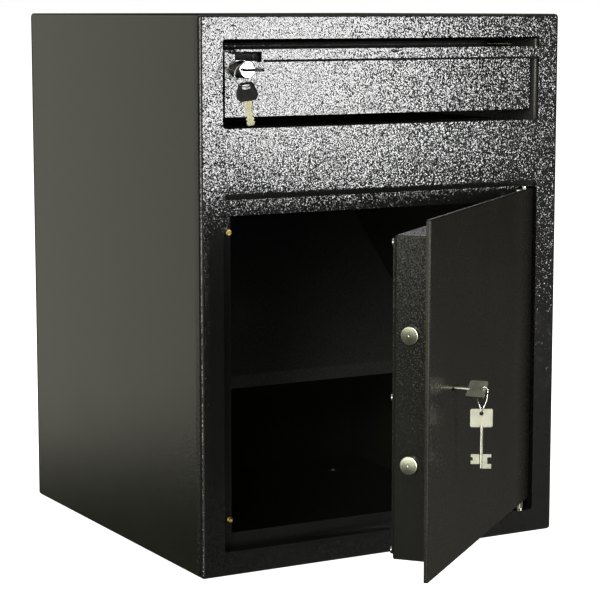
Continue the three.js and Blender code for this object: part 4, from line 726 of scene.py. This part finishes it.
class SAFE_OT_finishes(bpy.types.Operator):
    """Mix the paints, platings and plastic, and give them to the solids"""

    bl_idname = "safe.finishes"
    bl_label = "Finishes"

    def execute(self, context):
        tints = context.scene.safe_finishes
        grain, height, lean = tints.grain, tints.grain_height, tints.grain_lean
        powder_coat("Front Coat", tints.front_black, height, lean, 0.12, grain)
        powder_coat("Side Coat", tints.side_black, height, lean * 0.3, 0.12, grain)
        powder_coat("Box Coat", tints.box_black, height, lean * 0.5, 0.12, grain)
        satin_coat("Door Coat", tints.door_black, 0.26)
        powder_coat("Inner Coat", tints.inner_black, height, lean * 0.5, 0.16, grain)
        plated("Zinc Plate", tints.zinc, 0.34)
        plated("Turned Steel", tints.bolt_steel, 0.1, (1, 1, 6))
        plated("Wire Steel", tints.chrome, 0.22)
        # Painted shade: the ring's steel is a darker copy of the wire's.
        plated("Shaded Ring Steel", tints.shaded_ring_steel, 0.3)
        plated("Key Nickel", tints.nickel, 0.3, (1, 1, 0.15))
        # Painted shade: the blades' nickel is a darker copy of the door keys' nickel.
        plated("Shaded Blade Nickel", tints.shaded_blade_nickel, 0.25, (1, 1, 0.15))
        plated("Lock Chrome", tints.chrome, 0.08)
        plated("Brass", tints.brass, 0.26)
        moulded("Head Plastic", tints.black_plastic, 0.3)
        for name, nodes in NODE_FINISHES.items():
            for node in nodes:
                self.give(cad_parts[node], name)
        for name in EASED_NODES:
            self.ease(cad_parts[name], context.scene.safe_sizes.sheet_edge)
        return {"FINISHED"}

    def give(self, node, name):
        """Paints a solid that stays as it is."""
        node.data.materials.clear()
        node.data.materials.append(bpy.data.materials[name])

    def ease(self, node, width):
        """Rounds the sheet edges of a solid that stays, over its own mesh."""
        weld = node.modifiers.new("weld", "WELD")
        weld.merge_threshold = MERGE
        flat = node.modifiers.new("flat", "DECIMATE")
        flat.decimate_type, flat.angle_limit = "DISSOLVE", math.radians(1)
        edges = node.modifiers.new("edges", "BEVEL")
        edges.width, edges.segments = width, 2
        edges.limit_method, edges.angle_limit = "ANGLE", math.radians(40)


class SAFE_OT_front(bpy.types.Operator):
    """Model the pressed front frame with its drawer mouth and door mouth"""

    bl_idname = "safe.front"
    bl_label = "Front Frame"

    def execute(self, context):
        sizes = context.scene.safe_sizes
        piece = block(
            "front_pressing", (-HALF_BODY, -HALF_BODY, 0), (HALF_BODY, SKIRT_END, BODY_TOP)
        )
        round_edges(piece, sizes.frame_corner, parallel("y"))
        round_edges(piece, sizes.outer_fold, edges_at("y", FRONT), 6)
        open_up(piece, face_at("y", SKIRT_END))
        wall(piece, BODY_SHEET)
        mouths = [
            block("mouth", (-HALF_MOUTH, -240, low), (HALF_MOUTH, -205, high))
            for low, high in MOUTHS
        ]
        for mouth in mouths:
            round_edges(mouth, sizes.mouth_corner, parallel("y"))
        combine(piece, [*mouths, self.fold(sizes)])
        round_edges(piece, sizes.mouth_edge, self.rims_mouth, 5)
        soften(piece, PRESSED, sharp=50)
        fit(piece, "Front Coat", "safe", "front_frame")
        return {"FINISHED"}

    def fold(self, sizes):
        """The wedge that leans the edge above the door inwards, as thin as the face at its top."""
        before, top = -229, DOOR_MOUTH[1]
        wedge = block("fold", (2 - HALF_MOUTH, before, top - 2), (HALF_MOUTH - 2, -221.6, top))
        pick(wedge, "FACE", face_at("z", top))
        bpy.ops.mesh.extrude_region_move(TRANSFORM_OT_translate={"value": (0, 0, sizes.mouth_fold)})
        bpy.ops.transform.resize(value=(1, 0.54, 1), center_override=(0, before * MM, 0))
        done()
        return wedge

    def rims_mouth(self, middle, way):
        """A test for edges in the face of the front that border one of the two mouths."""
        level = any(low - 0.5 < middle.z < high + 0.5 for low, high in MOUTHS)
        return level and middle.y < FRONT + NEAR and abs(middle.x) < HALF_MOUTH + 0.5


class SAFE_OT_body(bpy.types.Operator):
    """Model the folded body tube with its anchor holes"""

    bl_idname = "safe.body"
    bl_label = "Body"

    def execute(self, context):
        sizes = context.scene.safe_sizes
        seam = SKIRT_END + 0.3
        piece = block("body_tube", (-HALF_BODY, seam, 0), (HALF_BODY, HALF_BODY, BODY_TOP))
        open_up(piece, parallel("y"))
        round_edges(piece, sizes.body_corner, parallel("y"), 5)
        wall(piece, BODY_SHEET)
        spots = [(x, y) for x in (-155, 155) for y in (-155, 155)]
        combine(piece, [bar("hole", (x, y, -5), (x, y, 10), 6) for x, y in spots])
        soften(piece, sizes.sheet_edge)
        fit(piece, "Side Coat", "safe", "body_shell")
        return {"FINISHED"}


class SAFE_OT_door(bpy.types.Operator):
    """Model the door plate and its double-bit keyhole"""

    bl_idname = "safe.door"
    bl_label = "Door Plate"

    def execute(self, context):
        sizes = context.scene.safe_sizes
        piece = block("door_leaf", (-197.3, -225, 39), (192.7, -220.5, 396))
        round_edges(piece, 0.002, parallel("y"))
        round_edges(piece, sizes.door_edge, edges_at("y", FRONT))
        x, z = KEYHOLE_X, KEYHOLE_Z
        slot = block("slot", (x - 11, -230, z - 1.6), (x + 11, -215, z + 1.6))
        round_edges(slot, 0.0012, parallel("y"))
        combine(piece, [slot, bar("keyhole", (x, -230, z), (x, -215, z), 2.65)])
        soften(piece, PRESSED, sharp=50)
        put(piece, DOOR_PLACE)
        fit(piece, "Door Coat", "door", "door_plate")
        return {"FINISHED"}


class SAFE_OT_lock_box(bpy.types.Operator):
    """Model the folded lock box behind the door, with its bolt holes"""

    bl_idname = "safe.lock_box"
    bl_label = "Lock Box"

    def execute(self, context):
        sizes = context.scene.safe_sizes
        piece = block("box_shell", (-176.3, BOX_FRONT, 54.5), (172.7, BOX_BACK, 378))
        open_up(piece, face_at("y", BOX_FRONT))
        round_edges(piece, sizes.box_fold, edges_at("y", BOX_BACK), 5)
        round_edges(piece, 0.0015, lambda middle, way: abs(way.y) > 0.9 and middle.y < -190, 3)
        wall(piece, BOX_SHEET)
        window = block("window", (-160.3, -190, 70.5), (156.7, -170, 362))
        holes = [
            bar("hole", (-190, BOLT_LINE, z), (-168, BOLT_LINE, z), BOLT_HOLE, 64)
            for z in BOLT_HEIGHTS
        ]
        combine(piece, [window, *holes])
        soften(piece, sizes.sheet_edge)
        put(piece, DOOR_PLACE)
        fit(piece, "Box Coat", "door", "lock_box")
        return {"FINISHED"}


class SAFE_OT_bolts(bpy.types.Operator):
    """Turn one round bolt with its neck and rivet, and copy it"""

    bl_idname = "safe.bolts"
    bl_label = "Bolts"
    ground: angle("Ground End", "How far out of square the lower bolt's end is ground", 2.7)

    def execute(self, context):
        sizes = context.scene.safe_sizes
        high, low = BOLT_HEIGHTS
        tip = (BOLT_END, BOLT_LINE, high)
        piece = bar("bolt_high", tip, (BOLT_NECK, BOLT_LINE, high), BOLT_RADIUS, 64)
        self.grow(piece, 0.0035, 0.0053, BOLT_NECK)
        self.grow(piece, -0.002, 0.003, -147.6)
        round_edges(piece, sizes.bolt_chamfer, edges_at("x", BOLT_END), 3)
        pick(piece, "FACE", face_at("x", BOLT_END))
        bpy.ops.mesh.inset(thickness=0.0072, depth=0)
        bpy.ops.mesh.inset(thickness=0.0004, depth=-0.0005)
        done()
        soften(piece, TURNED, sharp=60)
        twin = copy(piece, "bolt_low")
        pick(twin, "FACE", lambda middle, way: middle.x < BOLT_END + 1.3)
        bpy.ops.transform.rotate(
            value=-self.ground, orient_axis="Y", orient_type="GLOBAL",
            center_override=Vector(tip) * MM,
        )
        done()
        put(twin, Matrix.Translation((0, 0, (low - high) * MM)))
        for bolt, node in ((piece, "bolt_upper"), (twin, "bolt_lower")):
            put(bolt, DOOR_PLACE)
            fit(bolt, "Turned Steel", "bolt_work", node)
        return {"FINISHED"}

    def grow(self, piece, inset, reach, x):
        """Steps the end face at x in or out by the inset and draws it out by the reach."""
        pick(piece, "FACE", face_at("x", x))
        bpy.ops.mesh.inset(thickness=abs(inset), depth=0, use_outset=inset < 0)
        bpy.ops.mesh.extrude_region_move(TRANSFORM_OT_translate={"value": (reach, 0, 0)})
        done()


class SAFE_OT_door_keys(bpy.types.Operator):
    """Model one double-bit key, copy it, and bend the wire that joins the two"""

    bl_idname = "safe.door_keys"
    bl_label = "Door Keys"

    def execute(self, context):
        sizes = context.scene.safe_sizes
        bow = block("key_in_lock", (-11.25, 42.5, -1.1), (11.25, 61, 1.1))
        round_edges(bow, 0.0016, parallel("z"))
        combine(bow, [bar("hole", (0, 56.3, -5), (0, 56.3, 5), 2.1)])
        shaft = bar("shaft", (0, 0, 0), (0, 44.5, 0), 2, 32)
        round_edges(shaft, 0.0007, edges_at("y", 0), 3)
        bit = block("bit", (-10.3, 0.15, -1.1), (10.3, 14.8, 1.1))
        notches = (
            ((6.3, 4.9, -5), (15, 11.8, 5)),
            ((-15, -5, -5), (-0.5, 4.9, 5)),
            ((-15, 8.35, -5), (-8.3, 11.8, 5)),
        )
        combine(bit, [block("notch", low, high) for low, high in notches])
        key = combine(bow, [shaft, bit], "UNION")
        soften(key, sizes.key_edge, sharp=40)
        spare = copy(key, "key_hanging")
        put(key, DOOR_KEY_PLACE)
        put(spare, DOOR_SPARE_PLACE)
        fit(key, "Key Nickel", "door_key", "door_key")
        fit(spare, "Key Nickel", "door_spare_key", "door_spare_key")
        route = [Vector(point) for point in WIRE_ROUTE]
        order = route[WIRE_START:] + route[:WIRE_START]
        order.append(order[0] + (order[-1] - order[0]).normalized() * WIRE_LAP)
        loop = wire("key_wire", self.through(order), sizes.loop_wire)
        fit(loop, "Wire Steel", "door_key_loop", "door_key_loop")
        return {"FINISHED"}

    def through(self, points):
        """More points on a smooth line through the given ones."""
        line = []
        for i in range(len(points) - 1):
            before, start, end = points[max(i - 1, 0)], points[i], points[i + 1]
            after = points[min(i + 2, len(points) - 1)]
            for step in range(4):
                t = step / 4
                line.append(0.5 * (
                    2 * start + (end - before) * t
                    + (2 * before - 5 * start + 4 * end - after) * t * t
                    + (3 * start - before - 3 * end + after) * t * t * t
                ))
        return [*line, points[-1]]


class SAFE_OT_drawer_face(bpy.types.Operator):
    """Cut the slot for the lock's cam out of the drawer front"""

    bl_idname = "safe.drawer_face"
    bl_label = "Drawer Front"

    def execute(self, context):
        piece = bpy.data.objects.new("drawer_face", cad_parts["drawer_front"].data.copy())
        context.scene.collection.objects.link(piece)
        choose(piece)
        bpy.ops.object.mode_set(mode="EDIT")
        bpy.ops.mesh.select_all(action="SELECT")
        bpy.ops.mesh.remove_doubles(threshold=MERGE)
        bpy.ops.mesh.dissolve_limited(angle_limit=math.radians(1))
        done()
        combine(piece, [block("slot", (-180, -222, 541.7), (-153.2, -212, 549.2))])
        soften(piece, context.scene.safe_sizes.sheet_edge)
        fit(piece, "Front Coat", "drawer", "drawer_front")
        return {"FINISHED"}


class SAFE_OT_drawer_lock(bpy.types.Operator):
    """Model the chromed drawer lock with its plug and keyway"""

    bl_idname = "safe.drawer_lock"
    bl_label = "Drawer Lock"

    def execute(self, context):
        sizes = context.scene.safe_sizes
        x, z = CAM_LOCK_X, CAM_LOCK_Z
        body = bar("lock_rose", (x, CAM_LOCK_FACE, z), (x, -217.3, z), 9.2, 72)
        round_edges(body, sizes.lock_rim, edges_at("y", CAM_LOCK_FACE), 5)
        sleeve = bar("sleeve", (x, -218, z), (x, -203, z), 8, 48)
        combine(body, [sleeve], "UNION")
        combine(body, [bar("bore", (x, -240, z), (x, -190, z), 6.6, 64)])
        soften(body, POLISHED, sharp=50)
        plug = bar("lock_plug", (x, -230.2, z), (x, -203, z), 6.2, 64)
        tenon = block("tenon", (x - 3.5, -206, z - 3.5), (x + 3.5, -199.7, z + 3.5))
        combine(plug, [tenon], "UNION")
        combine(plug, [block("keyway", (x - 4.5, -240, z - 1.3), (x + 4.5, -208.7, z + 1.3))])
        soften(plug, TURNED, sharp=50)
        fit(body, "Lock Chrome", "drawer", "cam_lock_housing")
        fit(plug, "Lock Chrome", "drawer_cam", "cam_plug")
        return {"FINISHED"}


class SAFE_OT_drawer_keys(bpy.types.Operator):
    """Model one drawer key with its moulded head, copy it, and wind the split ring"""

    bl_idname = "safe.drawer_keys"
    bl_label = "Drawer Keys"

    def execute(self, context):
        sizes = context.scene.safe_sizes
        parts = ((self.head(sizes), "Head Plastic"), (self.blade(), "Shaded Blade Nickel"))
        for spot, body, nodes in (
            (CAM_SPARE_PLACE, "cam_spare_key", ("cam_spare_head", "cam_spare_blade")),
            (CAM_KEY_PLACE, "drawer_cam", ("cam_key_head", "cam_key_blade")),
        ):
            for (piece, material), node in zip(parts, nodes):
                made = piece if body == "drawer_cam" else copy(piece, piece.name + "_spare")
                put(made, spot)
                fit(made, material, body, node)
        radius, pitch, steps = 12, 0.62, 72
        turns = [
            (radius * math.cos(a), radius * math.sin(a), pitch * (a / (2 * math.pi) - 1))
            for a in (step * 4 * math.pi / steps for step in range(steps))
        ]
        ring = wire("key_ring", turns, sizes.ring_wire, SPLIT_RING_PLACE)
        fit(ring, "Shaded Ring Steel", "cam_ring", "cam_key_ring")
        return {"FINISHED"}

    def head(self, sizes):
        """The moulded head: wide in the middle, a sunk panel on each face, a slot for the ring."""
        foot, widest, top = 25, 31.5, 44.5
        piece = block("key_head", (-12, foot, -1.5), (12, top, 1.5))
        pick(piece, "EDGE", lambda middle, way: True)
        bpy.ops.mesh.bisect(plane_co=(0, widest * MM, 0), plane_no=(0, 1, 0))
        done()
        for y, factor in ((foot, 0.75), (top, 0.6)):
            pick(piece, "FACE", face_at("y", y))
            bpy.ops.transform.resize(value=(factor, 1, 1), center_override=(0, y * MM, 0))
            done()
        round_edges(piece, 0.0028, parallel("z"), 5)
        pick(piece, "FACE", parallel("z"))
        bpy.ops.mesh.dissolve_faces()
        bpy.ops.mesh.inset(thickness=sizes.head_panel, depth=-0.0004)
        done()
        slot = block("slot", (-4.75, 37.2, -5), (4.75, 41.8, 5))
        round_edges(slot, 0.0015, parallel("z"))
        combine(piece, [slot])
        return soften(piece, PRESSED, 3, 30)

    def blade(self):
        """The blade: a milled groove down each face, cuts along both edges and a pointed tip."""
        half, notch, corner = 4.2, 1.4, 1.98  # half widths of blade and cut, and the cut's corner
        piece = block("key_blade", (-half, 0, -1), (half, 31, 1))
        round_edges(piece, 0.0024, lambda middle, way: abs(way.z) > 0.9 and middle.y < 1, 2)
        grooves = [block("groove", (-0.4, -2, z), (1.5, 24.6, z + 2)) for z in (0.35, -2.35)]
        grooves.append(block("step", (2.6, -2, 0.55), (5, 24.6, 3)))
        cuts = []
        for side in (-1, 1):
            for y, depth in BLADE_CUTS:
                cut = block("cut", (-notch, -notch, -3), (notch, notch, 3))
                spot = Matrix.Translation((side * (half + corner - depth) * MM, y * MM, 0))
                put(cut, spot @ Matrix.Rotation(math.pi / 4, 4, "Z"))
                cuts.append(cut)
        combine(piece, [*grooves, *cuts])
        return soften(piece, MILLED, sharp=40)


class SAFE_OT_fasteners(bpy.types.Operator):
    """Model one cross-head screw and one buffer, and copy them to their places"""

    bl_idname = "safe.fasteners"
    bl_label = "Fasteners"

    def execute(self, context):
        screw = bar("cover_screw", (0, -5, 0), (0, 0, 0), 2, 24)
        head = bar("head", (0, -0.1, 0), (0, 1.7, 0), 4.3, 40)
        round_edges(head, 0.0013, edges_at("y", 1.7))
        combine(screw, [head], "UNION")
        long, wide = 2.3, 0.45  # half length and half width of a slot of the cross
        slots = ((long, wide), (wide, long))
        combine(screw, [block("cross", (-x, 0.7, -z), (x, 3, z)) for x, z in slots])
        soften(screw, STAMPED, sharp=40)
        spots = [(x, z) for x in SCREW_COLUMNS for z in SCREW_ROWS]
        for i, (x, z) in enumerate(spots, 1):
            twin = copy(screw, f"box_screw_{i}")
            put(twin, DOOR_PLACE @ Matrix.Translation(Vector((x, SCREW_SEAT, z)) * MM))
            fit(twin, "Wire Steel", "door", f"cover_screw_{i}")
        bpy.data.objects.remove(screw)
        ends = [(BUFFER_X, y, BUFFER_TOP) for y in (BUFFER_FACE, -211.3)]
        buffer = bar("buffer_top", *ends, 3.5, 40)
        round_edges(buffer, 0.0008, edges_at("y", BUFFER_FACE), 3)
        pick(buffer, "FACE", face_at("y", BUFFER_FACE))
        bpy.ops.mesh.inset(thickness=0.0009, depth=0)
        bpy.ops.mesh.inset(thickness=0.0004, depth=-0.0022)
        done()
        soften(buffer, MILLED, sharp=50)
        base = copy(buffer, "buffer_base")
        put(base, Matrix.Translation((0, 0, BUFFER_DROP * MM)))
        for made, node in ((buffer, "door_buffer_upper"), (base, "door_buffer_lower")):
            fit(made, "Brass", "safe", node)
        return {"FINISHED"}


OPERATORS = (
    SAFE_OT_stage, SAFE_OT_finishes, SAFE_OT_front, SAFE_OT_body, SAFE_OT_door,
    SAFE_OT_lock_box, SAFE_OT_bolts, SAFE_OT_door_keys, SAFE_OT_drawer_face,
    SAFE_OT_drawer_lock, SAFE_OT_drawer_keys, SAFE_OT_fasteners,
)


class SAFE_PT_panel(bpy.types.Panel):
    """Lists the steps that build the safe"""

    bl_label = "Drop Safe"
    bl_idname = "SAFE_PT_panel"
    bl_space_type = "VIEW_3D"
    bl_region_type = "UI"
    bl_category = "Drop Safe"

    def draw(self, context):
        for step in OPERATORS:
            self.layout.operator(step.bl_idname)
        for name in GROUPS:
            box, group = self.layout.box(), getattr(context.scene, name)
            for setting in group.__annotations__:
                box.prop(group, setting)


GROUPS = {"safe_sizes": SafeSizes, "safe_finishes": SafeFinishes, "safe_stage": SafeStage}


def register():
    for kind in (*GROUPS.values(), *OPERATORS, SAFE_PT_panel):
        bpy.utils.register_class(kind)
    for name, kind in GROUPS.items():
        setattr(bpy.types.Scene, name, bpy.props.PointerProperty(type=kind))


def unregister():
    for name in GROUPS:
        delattr(bpy.types.Scene, name)
    for kind in (SAFE_PT_panel, *reversed(OPERATORS), *reversed(GROUPS.values())):
        bpy.utils.unregister_class(kind)


def main():
    """Builds the whole safe."""
    register()
    for step in OPERATORS:
        group, name = step.bl_idname.split(".")
        result = getattr(getattr(bpy.ops, group), name)()
        if result != {"FINISHED"}:
            raise RuntimeError(f"{step.bl_idname} did not finish")
    deselect()


if __name__ == "__main__":
    main()
